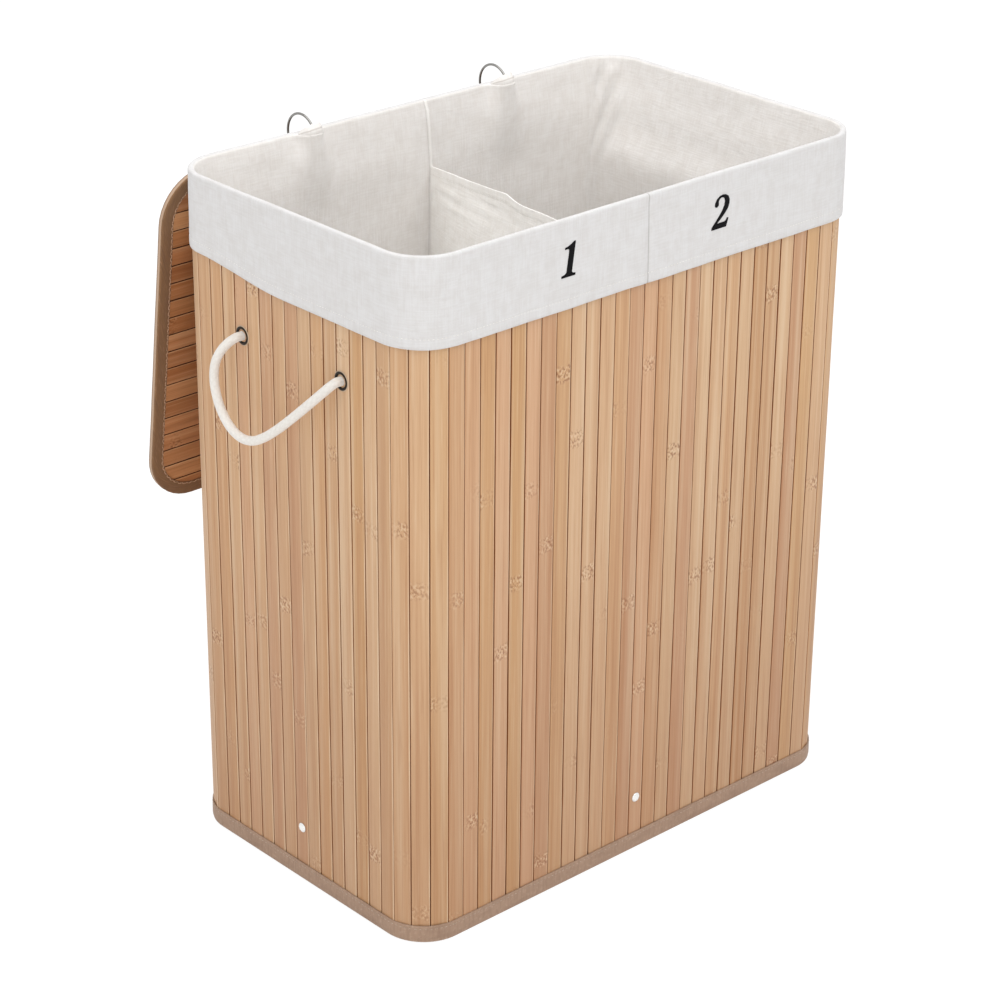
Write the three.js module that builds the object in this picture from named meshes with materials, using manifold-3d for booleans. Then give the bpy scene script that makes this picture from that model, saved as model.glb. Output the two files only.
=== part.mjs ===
// A folding laundry hamper with two bins, in millimetres, +Z up.
// The walls are one mat of flat bamboo slats glued to cloth. Tape binds its top and bottom edges.
// Two flat steel bars, crossed and riveted to the walls, carry a loose base board. A cotton liner
// hangs inside from the rim: two bags, a sewn-in divider and a skirt folded down outside.
// A slatted lid hangs behind the back wall on two wire rings, and each end wall has a rope handle.
import * as THREE from 'three';
import { mergeVertices } from 'three/addons/utils/BufferGeometryUtils.js';
import Module from 'manifold-3d';

const wasm = await Module();
wasm.setup();

// Clearances
const seat_gap = 0.3; // between two pieces that touch
const running_gap = 0.5; // between the closed lid and the skirt's fold
const cut_overrun = 4; // how far a cutting tool runs past what it cuts

// The slat mat that makes the walls
const slat_pitch = 16.66;
const slat_gap = 1.2;
const slat_thickness = 2.2;
const slat_edge = 0.35; // the small chamfer along each slat
const mat_cloth = 0.8;
const front_slats = 27;
const side_slats = 15;
const corner_slats = 3;
const body_height = 628.5;

// The tape that binds the mat's edges
const tape_thickness = 1.2;
const bottom_tape_height = 17;
const top_tape_height = 10;

// Crossed bars and base board
const brace_height = 40;
const bar_thickness = 2;
const bar_width = 20;
const tab_height = 24;
const tab_bend_radius = 3;
const rivet_rise = 13; // from the lower bar up to the rivets in the walls
const rivet_head_radius = 4.5;
const rivet_head_height = 1.8;
const rivet_shank_radius = 2;
const rivet_washer_radius = 4;
const rivet_washer_height = 1.2;
const rivet_clearance = 0.35;
const pivot_head_radius = 6;
const pivot_head_height = 1.5;
const pivot_shank_radius = 3;
const board_thickness = 3;
const board_clearance = 1.2;

// Cotton liner
const cloth_thickness = 1.2;
const skirt_height = 78;
const front_seam_x = -8;
const back_seam_x = 22;
const bag_front_slack = 5.2; // how far the bag hangs clear of the tape's inner leg, front and back
const bag_end_slack = 22.2; // the same at the end walls, where the rope knots are
// From the floor up: shares of the height, of the slack at the ends, of the slack at front and
// back, and of the bulge round each ring
const bag_level_shares = [
  [0, 1, 1, 0],
  [0.85, 1, 1, 0],
  [0.915, 0.5, 1, 0],
  [0.968, 0.25, 0.5, 1],
  [1, 0, 0, 1],
];
// Across that bulge: shares of half its width and of its depth
const bulge_shares = [[-1, 0], [-0.62, 0.77], [-0.3, 1], [0.3, 1], [0.62, 0.77], [1, 0]];
const divider_drop_front = 54; // from the rim down to the divider's top edge
const divider_drop_back = 60;
const divider_rise = 3; // how far the middle of that edge stands above a straight line

// Eyelets
const eyelet_hole_radius = 6;
const eyelet_barrel_radius = 6.5;
const eyelet_flange_radius = 9.5;
const eyelet_flange_height = 1.2;
const eyelet_flange_edge = 0.5;

// Rope handles
const rope_radius = 4;
const handle_eyelet_height = 503;
const handle_eyelet_spacing = 130;
const rope_stub = 1; // how far a rope end stands out past its eyelet
const knot_radius = 9;
const knot_shoulder_radius = 7.5; // the flat of the knot that bears on its eyelet
const knot_length = 17;
const rope_tail = 4;

// Wire rings and lid
const ring_radius = 19;
const ring_wire_radius = 1.5;
const ring_spacing = 226;
const ring_eyelet_drop = 20; // from the wall's top edge down to the eyelet's centre
const ring_sag = 3.3; // how far the wire rests below the middle of its wall eyelet
const ring_outset = 7; // from the wall's middle plane to the ring's centre
const ring_room = 0.6; // between a ring and the bag that bulges round it
const bulge_half_width = 22;
const skirt_notch_width = 30;
const lid_width = 520;
const lid_depth = 322;
const lid_corner_radius = 46;
const lid_board_thickness = 1.6;
const lid_slat_thickness = 1.8;
const lid_groove_depth = 1.2;
const lid_tape_thickness = 0.8;
const lid_tape_width = 16;
const lid_eyelet_inset = 12.5; // from the lid's hinge edge to its eyelets
const lid_hang_out = 6; // how far behind the rings' centres the hanging lid bears on the wire
const lid_sag = 2.7; // how far the lid's eyelets hang below the wire that carries them
const lid_lean_deg = 7.5;

// Facets
const corner_steps = 6;
const eyelet_sides = 24;
const rivet_sides = 20;
const knot_sides = 12;
const ring_steps = 40;
const wire_sides = 8;
const rope_sides = 10;
const rope_steps = 18;
const divider_steps = 6;

// Sizes that follow
const wall_thickness = mat_cloth + slat_thickness;
const bend_deg = 90 / (corner_slats + 1);
const corner_reach = sumOf(corner_slats, (i) => Math.cos(radians(bend_deg * (i + 1)))) * slat_pitch;
const body_width = front_slats * slat_pitch + 2 * corner_reach;
const body_depth = side_slats * slat_pitch + 2 * corner_reach;
const half_width = body_width / 2;
const half_depth = body_depth / 2;
const rivet_height = brace_height + rivet_rise;
const tape_outer = seat_gap + tape_thickness;
const tape_inner = -(wall_thickness + seat_gap + tape_thickness);
const skirt_inner = tape_outer + seat_gap;
const skirt_outer = skirt_inner + cloth_thickness;
const skirt_top = body_height + seat_gap + cloth_thickness;
const bag_top_offset = tape_inner - seat_gap;
const eyelet_outer_reach = seat_gap + eyelet_flange_height;
const eyelet_inner_reach = wall_thickness + seat_gap + eyelet_flange_height;

// The ring's circle: through its wall eyelet, round the rim, and through the lid's eyelet
const wall_middle_y = half_depth - wall_thickness / 2;
const ring_centre = new THREE.Vector2(
  wall_middle_y + ring_outset,
  body_height - ring_eyelet_drop - ring_sag + Math.sqrt(ring_radius ** 2 - ring_outset ** 2),
);
const ring_xs = [-ring_spacing / 2, ring_spacing / 2];

// The lid's middle plane when it is closed, and where its eyelets sit on the ring then and at rest
const lid_stack = lid_board_thickness + seat_gap + lid_slat_thickness;
const lid_half_thickness = lid_stack / 2 + seat_gap + lid_tape_thickness;
const lid_closed_z = skirt_top + running_gap + lid_half_thickness;
const lid_closed_rise = lid_closed_z - ring_centre.y;
const closed_angle = Math.PI - Math.asin(lid_closed_rise / ring_radius);
const rest_angle = -Math.acos(lid_hang_out / ring_radius);
const lid_turn = radians(270 - lid_lean_deg);
const lid_hang = new THREE.Vector2(
  ring_centre.x + ring_radius * Math.cos(rest_angle) + lid_sag * Math.sin(radians(lid_lean_deg)),
  ring_centre.y + ring_radius * Math.sin(rest_angle) - lid_sag * Math.cos(radians(lid_lean_deg)),
);

const paint = (color, roughness, metalness = 0) =>
  new THREE.MeshStandardMaterial({ color, roughness, metalness });
const bamboo = paint(0xcfa67e, 0.55);
const lid_bamboo = paint(0xb98a60, 0.55);
const tape = paint(0x9d8572, 0.9);
const cotton = paint(0xf2efea, 0.95);
const lining = paint(0xe6e3df, 0.95);
const rope_cotton = paint(0xf3efe8, 0.95);
const steel = paint(0xc9c8c4, 0.3, 1);
const dark_metal = paint(0x3d3833, 0.4, 1);
const hardboard = paint(0x8f7a63, 0.85);

const hamper = new THREE.Group();

function radians(degrees) {
  return THREE.MathUtils.degToRad(degrees);
}

function sumOf(count, term) {
  return Array.from({ length: count }, (_, i) => term(i)).reduce((a, b) => a + b, 0);
}

function add(name, geometry, material, parent = hamper) {
  const mesh = new THREE.Mesh(geometry, material);
  mesh.name = name;
  parent.add(mesh);
  return mesh;
}

// A geometry with its corners merged, and its faces turned out if they point in
function closed(geometry) {
  const bare = geometry.clone();
  bare.deleteAttribute('normal');
  bare.deleteAttribute('uv');
  const body = mergeVertices(bare);
  const at = body.getAttribute('position');
  const index = body.getIndex().array;
  const corner = (i) => new THREE.Vector3().fromBufferAttribute(at, index[i]);
  let volume = 0;
  for (let i = 0; i < index.length; i += 3) {
    volume += corner(i).dot(corner(i + 1).cross(corner(i + 2)));
  }
  if (volume < 0) {
    for (let i = 0; i < index.length; i += 3) {
      [index[i], index[i + 1]] = [index[i + 1], index[i]];
    }
  }
  return body;
}

function solid(geometry) {
  const body = closed(geometry);
  return new wasm.Manifold(new wasm.Mesh({
    numProp: 3,
    vertProperties: new Float32Array(body.getAttribute('position').array),
    triVerts: new Uint32Array(body.getIndex().array),
  }));
}

function geometryOf(manifold) {
  const { vertProperties, triVerts } = manifold.getMesh();
  const geometry = new THREE.BufferGeometry();
  geometry.setAttribute('position', new THREE.BufferAttribute(vertProperties, 3));
  geometry.setIndex(new THREE.BufferAttribute(triVerts, 1));
  return geometry;
}

function cut(geometry, tools) {
  return geometryOf(tools.reduce((body, tool) => body.subtract(solid(tool)), solid(geometry)));
}

// A closed body through sections that all have the same number of points. flat holds the same
// points in two dimensions, for the end caps, and a loop of sections has none.
function loft(sections, flat, loops = false) {
  const count = flat.length;
  const positions = sections.flat().flatMap((p) => [p.x, p.y, p.z]);
  const index = [];
  const spans = loops ? sections.length : sections.length - 1;
  for (let s = 0; s < spans; s += 1) {
    const next = (s + 1) % sections.length;
    for (let i = 0; i < count; i += 1) {
      const j = (i + 1) % count;
      const [a, b, c, d] = [s * count + i, s * count + j, next * count + i, next * count + j];
      index.push(a, b, d, a, d, c);
    }
  }
  if (!loops) {
    const last = (sections.length - 1) * count;
    for (const [a, b, c] of THREE.ShapeUtils.triangulateShape(flat, [])) {
      const turned = THREE.ShapeUtils.isClockWise(flat);
      index.push(...(turned ? [a, b, c] : [a, c, b]));
      index.push(...(turned ? [a, c, b] : [a, b, c]).map((i) => i + last));
    }
  }
  const geometry = new THREE.BufferGeometry();
  geometry.setAttribute('position', new THREE.Float32BufferAttribute(positions, 3));
  geometry.setIndex(index);
  return closed(geometry);
}

// A sheet of cloth as a closed body: two grids of points, row by row, joined along their edges
function sheetBody(outer, inner) {
  const rows = outer.length;
  const columns = outer[0].length;
  const positions = [...outer, ...inner].flat().flatMap((p) => [p.x, p.y, p.z]);
  const at = (row, column, side) => (side * rows + row) * columns + column;
  const index = [];
  const quad = (a, b, c, d) => index.push(a, b, c, a, c, d);
  for (let r = 0; r < rows - 1; r += 1) {
    for (let c = 0; c < columns - 1; c += 1) {
      quad(at(r, c, 0), at(r, c + 1, 0), at(r + 1, c + 1, 0), at(r + 1, c, 0));
      quad(at(r, c, 1), at(r + 1, c, 1), at(r + 1, c + 1, 1), at(r, c + 1, 1));
    }
    const end = columns - 1;
    quad(at(r, 0, 0), at(r + 1, 0, 0), at(r + 1, 0, 1), at(r, 0, 1));
    quad(at(r, end, 0), at(r, end, 1), at(r + 1, end, 1), at(r + 1, end, 0));
  }
  for (let c = 0; c < columns - 1; c += 1) {
    const top = rows - 1;
    quad(at(0, c, 0), at(0, c, 1), at(0, c + 1, 1), at(0, c + 1, 0));
    quad(at(top, c, 0), at(top, c + 1, 0), at(top, c + 1, 1), at(top, c, 1));
  }
  const geometry = new THREE.BufferGeometry();
  geometry.setAttribute('position', new THREE.Float32BufferAttribute(positions, 3));
  geometry.setIndex(index);
  return closed(geometry);
}

// A profile of [outward, up] pairs carried along stations that know their own way outwards
function sweep(profile, stations, loops = false) {
  const sections = stations.map(({ at, out }) => profile.map(([d, z]) => (
    new THREE.Vector3(at.x + out.x * d, at.y + out.y * d, z)
  )));
  return loft(sections, profile.map(([d, z]) => new THREE.Vector2(d, z)), loops);
}

// The ring of slats seen from above, anticlockwise from the front left: each station is the meeting
// point of two slats on the outer face, and out leads to the same point of a parallel outline.
function slatRing() {
  const runs = [front_slats, side_slats, front_slats, side_slats];
  const at = new THREE.Vector2((-front_slats * slat_pitch) / 2, -half_depth);
  const stations = [];
  let heading = 0;
  for (const run of runs) {
    for (let i = 0; i < run + corner_slats; i += 1) {
      const bends = i === 0 || i >= run;
      const bend = bends ? radians(bend_deg) : 0;
      const before = i === 0 ? heading - bend : heading;
      const after = i >= run ? heading + bend : heading;
      const middle = (before + after) / 2 - Math.PI / 2;
      const out = new THREE.Vector2(Math.cos(middle), Math.sin(middle))
        .divideScalar(Math.cos((after - before) / 2));
      stations.push({ at: at.clone(), out, along: after, bends });
      at.add(new THREE.Vector2(Math.cos(after), Math.sin(after)).multiplyScalar(slat_pitch));
      heading = after;
    }
    heading += radians(bend_deg);
  }
  return stations;
}

const ring_stations = slatRing();
const bend_stations = ring_stations.filter((station) => station.bends);
const corner_names = ['front_left', 'front_right', 'back_right', 'back_left'];
const bends = Object.fromEntries(corner_names.map((name, corner) => [
  name,
  Array.from({ length: corner_slats + 1 }, (_, i) => (
    bend_stations[(corner * (corner_slats + 1) + i + bend_stations.length - corner_slats)
      % bend_stations.length]
  )),
]));
const frontStation = (x) => ({
  at: new THREE.Vector2(x, -half_depth),
  out: new THREE.Vector2(0, -1),
});
const backStation = (x) => ({
  at: new THREE.Vector2(x, half_depth),
  out: new THREE.Vector2(0, 1),
});

// A rounded rectangle about the origin, anticlockwise
function roundedStations(width, depth, radius) {
  const stations = [];
  for (let corner = 0; corner < 4; corner += 1) {
    const centre = new THREE.Vector2(
      (corner === 0 || corner === 3 ? 1 : -1) * (width / 2 - radius),
      (corner < 2 ? 1 : -1) * (depth / 2 - radius),
    );
    for (let i = 0; i <= corner_steps; i += 1) {
      const angle = (Math.PI / 2) * (corner + i / corner_steps);
      const out = new THREE.Vector2(Math.cos(angle), Math.sin(angle));
      stations.push({ at: centre.clone().addScaledVector(out, radius), out });
    }
  }
  return stations;
}

const offsetPoints = (stations, d) => stations.map(({ at, out }) => at.clone().addScaledVector(out, d));

function plate(outline, thickness, z) {
  const geometry = new THREE.ExtrudeGeometry(new THREE.Shape(outline), {
    depth: thickness,
    bevelEnabled: false,
  });
  return geometry.translate(0, 0, z);
}

// Turns a shape made round the Y axis so that the axis points along direction, then places it
function aimed(geometry, direction, position) {
  const turn = new THREE.Quaternion().setFromUnitVectors(new THREE.Vector3(0, 1, 0), direction);
  return geometry.applyQuaternion(turn).translate(position.x, position.y, position.z);
}

const lathe = (points, sides) => new THREE.LatheGeometry(
  points.map(([r, y]) => new THREE.Vector2(r, y)),
  sides,
);

const drill = (radius, length, direction, position) => aimed(
  new THREE.CylinderGeometry(radius, radius, length + 2 * cut_overrun, eyelet_sides),
  direction,
  position,
);

// The four walls, each with the way it faces and the middle of its outer face
const walls = {
  front: { out: new THREE.Vector3(0, -1, 0), reach: half_depth },
  right: { out: new THREE.Vector3(1, 0, 0), reach: half_width },
  back: { out: new THREE.Vector3(0, 1, 0), reach: half_depth },
  left: { out: new THREE.Vector3(-1, 0, 0), reach: half_width },
};

// A point on a wall's outer face, at a place along the wall's own X or Y and a height
function onWall(name, along, z) {
  const { out, reach } = walls[name];
  return new THREE.Vector3(out.x * reach + Math.abs(out.y) * along, out.y * reach + Math.abs(out.x) * along, z);
}

// A stretch of the mat from one slat to another. Each slat is a chamfered strip standing on cloth.
function matOutline(first, count) {
  const station = (i) => ring_stations[(i + ring_stations.length) % ring_stations.length];
  const points = [];
  const half = slat_gap / 2;
  for (let i = first; i < first + count; i += 1) {
    const { at, along } = station(i);
    const run = new THREE.Vector2(Math.cos(along), Math.sin(along));
    const out = new THREE.Vector2(run.y, -run.x);
    const place = (u, d) => points.push(at.clone().addScaledVector(run, u).addScaledVector(out, d));
    place(half, -slat_thickness);
    place(half, -slat_edge);
    place(half + slat_edge, 0);
    place(slat_pitch - half - slat_edge, 0);
    place(slat_pitch - half, -slat_edge);
    place(slat_pitch - half, -slat_thickness);
  }
  const ends = [[first, 1], [first + count, -1]].map(([i, side]) => {
    const { along } = station(side > 0 ? i : i - 1);
    const shift = new THREE.Vector2(Math.cos(along), Math.sin(along)).multiplyScalar((side * seat_gap) / 2);
    return (d) => station(i).at.clone().addScaledVector(station(i).out, d).add(shift);
  });
  points.unshift(ends[0](-slat_thickness));
  points.push(ends[1](-slat_thickness), ends[1](-wall_thickness));
  for (let i = first + count - 1; i > first; i -= 1) {
    if (station(i).bends) {
      points.push(station(i).at.clone().addScaledVector(station(i).out, -wall_thickness));
    }
  }
  points.push(ends[0](-wall_thickness));
  return points;
}

function makeMats() {
  const bottom = tape_thickness + seat_gap;
  const height = body_height - 2 * bottom;
  const holes = { front: [], right: [], back: [], left: [] };
  for (const name of Object.keys(walls)) {
    const rivet = onWall(name, 0, rivet_height);
    const shank_hole = rivet_shank_radius + rivet_clearance;
    holes[name].push(drill(shank_hole, 2 * wall_thickness, walls[name].out, rivet));
  }
  const eyelet_hole = eyelet_barrel_radius + seat_gap;
  for (const name of ['left', 'right']) {
    for (const along of [-handle_eyelet_spacing / 2, handle_eyelet_spacing / 2]) {
      const place = onWall(name, along, handle_eyelet_height);
      holes[name].push(drill(eyelet_hole, 2 * wall_thickness, walls[name].out, place));
    }
  }
  for (const x of ring_xs) {
    const place = onWall('back', x, body_height - ring_eyelet_drop);
    holes.back.push(drill(eyelet_hole, 2 * wall_thickness, walls.back.out, place));
  }
  let first = 0;
  const corners = ['front_right', 'back_right', 'back_left', 'front_left'];
  Object.keys(walls).forEach((name, i) => {
    const count = i % 2 ? side_slats : front_slats;
    const mat = plate(matOutline(first, count), height, bottom);
    add(`mat_${name}`, cut(mat, holes[name]), bamboo);
    first += count;
    add(`mat_corner_${corners[i]}`, closed(plate(matOutline(first, corner_slats), height, bottom)), bamboo);
    first += corner_slats;
  });
}

// Tape folded over an edge of the mat: a channel that opens upwards from z = 0
const tapeChannel = (height) => [
  [tape_outer, 0],
  [tape_outer, height],
  [seat_gap, height],
  [seat_gap, tape_thickness],
  [tape_inner + tape_thickness, tape_thickness],
  [tape_inner + tape_thickness, height],
  [tape_inner, height],
  [tape_inner, 0],
];

function makeTapes() {
  add('bottom_binding', sweep(tapeChannel(bottom_tape_height), bend_stations, true), tape);
  const top = tapeChannel(top_tape_height).map(([d, z]) => [d, body_height - z]);
  add('top_binding', sweep(top, bend_stations, true), tape);
}

// A flat bar along X with its ends bent up into tabs, the pivot hole in its middle
function barOf(half_length, z) {
  const profile = new THREE.Shape();
  const outer = tab_bend_radius + bar_thickness;
  profile.moveTo(0, 0);
  profile.lineTo(half_length - outer, 0);
  profile.absarc(half_length - outer, outer, outer, -Math.PI / 2, 0, false);
  profile.lineTo(half_length, tab_height);
  profile.lineTo(half_length - bar_thickness, tab_height);
  profile.lineTo(half_length - bar_thickness, outer);
  profile.absarc(half_length - outer, outer, tab_bend_radius, 0, -Math.PI / 2, true);
  profile.lineTo(0, bar_thickness);
  const right = profile.getPoints(corner_steps).slice(1, -1);
  const left = right.map((p) => new THREE.Vector2(-p.x, p.y)).reverse();
  const whole = new THREE.Shape([...right, ...left]);
  const bar = new THREE.ExtrudeGeometry(whole, { depth: bar_width, bevelEnabled: false });
  bar.translate(0, 0, -bar_width / 2).rotateX(Math.PI / 2).translate(0, 0, z);
  const rivet_hole = rivet_shank_radius + rivet_clearance;
  const along = new THREE.Vector3(1, 0, 0);
  const ends = drill(rivet_hole, 2 * half_length, along, new THREE.Vector3(0, 0, rivet_height));
  const pivot = drill(
    pivot_shank_radius + rivet_clearance,
    bar_thickness,
    new THREE.Vector3(0, 0, 1),
    new THREE.Vector3(0, 0, z + bar_thickness / 2),
  );
  return cut(bar, [ends, pivot]);
}

const short_bar_z = brace_height + bar_thickness + seat_gap;
const pivot_top = short_bar_z + bar_thickness + seat_gap + pivot_head_height;
const board_z = pivot_top + seat_gap;

function makeBrace() {
  const tab_face = wall_thickness + seat_gap;
  add('brace_long_bar', barOf(half_width - tab_face, brace_height), steel);
  const short_bar = barOf(half_depth - tab_face, short_bar_z);
  add('brace_short_bar', short_bar.rotateZ(Math.PI / 2), steel);
  const pivot_bottom = brace_height - seat_gap - pivot_head_height;
  const pivot = lathe([
    [0, pivot_bottom],
    [pivot_head_radius, pivot_bottom],
    [pivot_head_radius, brace_height - seat_gap],
    [pivot_shank_radius, brace_height - seat_gap],
    [pivot_shank_radius, pivot_top - pivot_head_height],
    [pivot_head_radius, pivot_top - pivot_head_height],
    [pivot_head_radius, pivot_top],
    [0, pivot_top],
  ], rivet_sides);
  add('brace_pivot_rivet', closed(pivot.rotateX(Math.PI / 2)), steel);
}

// Domed outside, with the shank through wall and tab to a flat set head inside
function makeRivets() {
  const washer = -(wall_thickness + seat_gap + bar_thickness + seat_gap);
  const dome = Array.from({ length: corner_steps + 1 }, (_, i) => {
    const angle = (Math.PI / 2) * (i / corner_steps);
    return [rivet_head_radius * Math.cos(angle), seat_gap + rivet_head_height * Math.sin(angle)];
  });
  dome[corner_steps][0] = 0;
  for (const name of Object.keys(walls)) {
    const rivet = lathe([
      [0, washer - rivet_washer_height],
      [rivet_washer_radius, washer - rivet_washer_height],
      [rivet_washer_radius, washer],
      [rivet_shank_radius, washer],
      [rivet_shank_radius, seat_gap],
      ...dome,
    ], rivet_sides);
    add(`rivet_${name}`, closed(aimed(rivet, walls[name].out, onWall(name, 0, rivet_height))), steel);
  }
}

// Lies on the pivot rivet's head, with a notch for each tab
function makeBoard() {
  const edge = tape_inner - board_clearance;
  const board = plate(offsetPoints(bend_stations, edge), board_thickness, board_z);
  const notches = Object.values(walls).map(({ out, reach }) => {
    const deep = 2 * (wall_thickness + seat_gap + bar_thickness + rivet_washer_height + board_clearance);
    const wide = bar_width + 2 * board_clearance;
    const notch = new THREE.BoxGeometry(
      out.x ? deep : wide,
      out.y ? deep : wide,
      board_thickness + 2 * cut_overrun,
    );
    return notch.translate(out.x * reach, out.y * reach, board_z + board_thickness / 2);
  });
  add('base_board', cut(board, notches), hardboard);
}

// The bag's levels: how far it hangs in from the tape at the ends and at front and back
const floor_z = board_z + board_thickness + seat_gap;
const bag_levels = bag_level_shares.map(([up, ends, sides, bulge]) => ({
  z: Math.max(floor_z, body_height * up),
  ends: bag_end_slack * ends,
  sides: bag_front_slack * sides,
  bulge,
}));
const bulge_y = ring_centre.x - ring_radius - ring_wire_radius - ring_room;

// The points of one bag's outer or inner face at a level, along its stations
function bagPoints(stations, level, inward) {
  return stations.map(({ at, out, bulge = 0 }) => {
    const ends = bag_top_offset - level.ends - inward;
    const sides = bag_top_offset - level.sides - inward;
    const point = new THREE.Vector3(at.x + out.x * ends, at.y + out.y * sides, level.z);
    const pushed = bulge_y - inward - point.y;
    point.y += Math.min(0, pushed) * bulge * level.bulge;
    return point;
  });
}

// Stations along the back wall near a ring, each with its share of the bulge
const bulgeStations = (x) => bulge_shares.map(([across, bulge]) => ({
  ...backStation(x - across * bulge_half_width),
  bulge,
}));

const bag_stations = {
  left: [
    backStation(back_seam_x),
    ...bulgeStations(ring_xs[0]),
    ...bends.back_left,
    ...bends.front_left,
    frontStation(front_seam_x),
  ],
  right: [
    frontStation(front_seam_x),
    ...bends.front_right,
    ...bends.back_right,
    ...bulgeStations(ring_xs[1]),
    backStation(back_seam_x),
  ],
};

// The divider stands in the plane from the back seam to the front seam
const divider_front = new THREE.Vector2(front_seam_x, -half_depth);
const divider_back = new THREE.Vector2(back_seam_x, half_depth);
const divider_run = divider_back.clone().sub(divider_front).normalize();
const divider_side = new THREE.Vector2(divider_run.y, -divider_run.x);

function dividerPoint(y, side) {
  const share = (y + half_depth) / body_depth;
  return divider_front.clone().lerp(divider_back, share).addScaledVector(divider_side, side);
}

function makeLiner() {
  for (const [name, stations] of Object.entries(bag_stations)) {
    const shifted = stations.map((station, i) => {
      const at = station.at.clone();
      const seam = i === 0 || i === stations.length - 1;
      at.x += seam ? ((name === 'left' ? -1 : 1) * seat_gap) / 2 : 0;
      return { ...station, at };
    });
    add(`liner_bag_${name}`, sheetBody(
      bag_levels.map((level) => bagPoints(shifted, level, 0)),
      bag_levels.map((level) => bagPoints(shifted, level, cloth_thickness)),
    ), lining);

    const edge = cloth_thickness + seat_gap;
    const inner = bagPoints(stations.filter((station) => station.bends), bag_levels[0], edge);
    const reach = half_depth + bag_top_offset - bag_front_slack - edge;
    const side = (name === 'left' ? -1 : 1) * (cloth_thickness / 2 + seat_gap);
    const back = dividerPoint(reach, side);
    const front = dividerPoint(-reach, side);
    const outline = name === 'left' ? [back, ...inner, front] : [front, ...inner, back];
    add(`liner_floor_${name}`, closed(plate(
      outline.map((p) => new THREE.Vector2(p.x, p.y)),
      cloth_thickness,
      floor_z,
    )), lining);
  }

  const reach = half_depth + bag_top_offset - bag_front_slack - cloth_thickness - seat_gap;
  const shares = Array.from({ length: divider_steps + 1 }, (_, i) => i / divider_steps);
  const top = (share) => {
    const drop = THREE.MathUtils.lerp(divider_drop_front, divider_drop_back, share);
    return skirt_top - drop + divider_rise * (1 - (2 * share - 1) ** 2);
  };
  const face = (side) => [() => floor_z, top].map((height) => shares.map((share) => {
    const { x, y } = dividerPoint((2 * share - 1) * reach, side);
    return new THREE.Vector3(x, y, height(share));
  }));
  add('liner_divider', sheetBody(face(cloth_thickness / 2), face(-cloth_thickness / 2)), cotton);
}

// The skirt: a fold over the rim and a leg down outside, left open round each ring
function makeSkirt() {
  const hem = skirt_top - skirt_height;
  const profile = [
    [skirt_inner, hem],
    [skirt_outer, hem],
    [skirt_outer, skirt_top],
    [bag_top_offset - cloth_thickness, skirt_top],
    [bag_top_offset - cloth_thickness, skirt_top - cloth_thickness],
    [skirt_inner, skirt_top - cloth_thickness],
  ];
  const notch = skirt_notch_width / 2;
  const left_seam = frontStation(front_seam_x - seat_gap / 2);
  const right_seam = frontStation(front_seam_x + seat_gap / 2);
  const left = [backStation(ring_xs[0] - notch), ...bends.back_left, ...bends.front_left, left_seam];
  const right = [right_seam, ...bends.front_right, ...bends.back_right, backStation(ring_xs[1] + notch)];
  add('liner_skirt_left', sweep(profile, left), cotton);
  add('liner_skirt_right', sweep(profile, right), cotton);
  const back = [backStation(ring_xs[1] - notch), backStation(ring_xs[0] + notch)];
  add('liner_skirt_back', sweep(profile, back), cotton);
}

// A set eyelet round the Y axis, its outer flange above y = 0 and its inner one below -thickness
function eyeletOf(thickness) {
  const outer = seat_gap;
  const inner = -(thickness + seat_gap);
  const crown = eyelet_flange_height;
  return closed(lathe([
    [eyelet_hole_radius, inner - crown + eyelet_flange_edge],
    [eyelet_hole_radius, outer + crown - eyelet_flange_edge],
    [eyelet_hole_radius + eyelet_flange_edge, outer + crown],
    [eyelet_flange_radius - 2 * eyelet_flange_edge, outer + crown],
    [eyelet_flange_radius, outer],
    [eyelet_barrel_radius, outer],
    [eyelet_barrel_radius, inner],
    [eyelet_flange_radius, inner],
    [eyelet_flange_radius - 2 * eyelet_flange_edge, inner - crown],
    [eyelet_hole_radius + eyelet_flange_edge, inner - crown],
    [eyelet_hole_radius, inner - crown + eyelet_flange_edge],
  ], eyelet_sides));
}

// A rope end round the Y axis: through the eyelet from y = reach to a knot inside the wall
function ropeEnd(reach) {
  const knot_start = -(eyelet_inner_reach + seat_gap);
  const knot = Array.from({ length: corner_steps + 1 }, (_, i) => {
    const angle = Math.PI * (i / corner_steps);
    const swell = knot_shoulder_radius + (knot_radius - knot_shoulder_radius) * Math.sin(angle);
    return [swell, knot_start - (knot_length * i) / corner_steps];
  });
  const tail = knot_start - knot_length - rope_tail;
  return closed(lathe([
    [0, tail],
    [rope_radius, tail],
    [rope_radius, knot_start - knot_length],
    ...knot.reverse(),
    [rope_radius, knot_start],
    [rope_radius, reach],
    [0, reach],
  ], knot_sides));
}

// The loop's route as [out from the wall, towards the back, up from the eyelets], chosen by hand
const rope_start = eyelet_outer_reach + rope_stub + seat_gap;
const rope_route = [
  [rope_start, 65, 0],
  [6.5, 65, 0],
  [12.5, 67, -3],
  [18.5, 71, -10.5],
  [22.5, 74, -21],
  [24.5, 74, -34],
  [26, 69.5, -48],
  [27, 61, -61],
  [27.5, 49, -71],
  [27.5, 35, -75.5],
  [27, 20, -73.5],
  [26, 5, -65.5],
  [24.5, -11, -53.5],
  [22, -28, -38.5],
  [18.5, -43, -24],
  [14, -55, -11.5],
  [9.5, -62.5, -3],
  [6, -65, 0],
  [rope_start, -65, 0],
];

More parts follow.
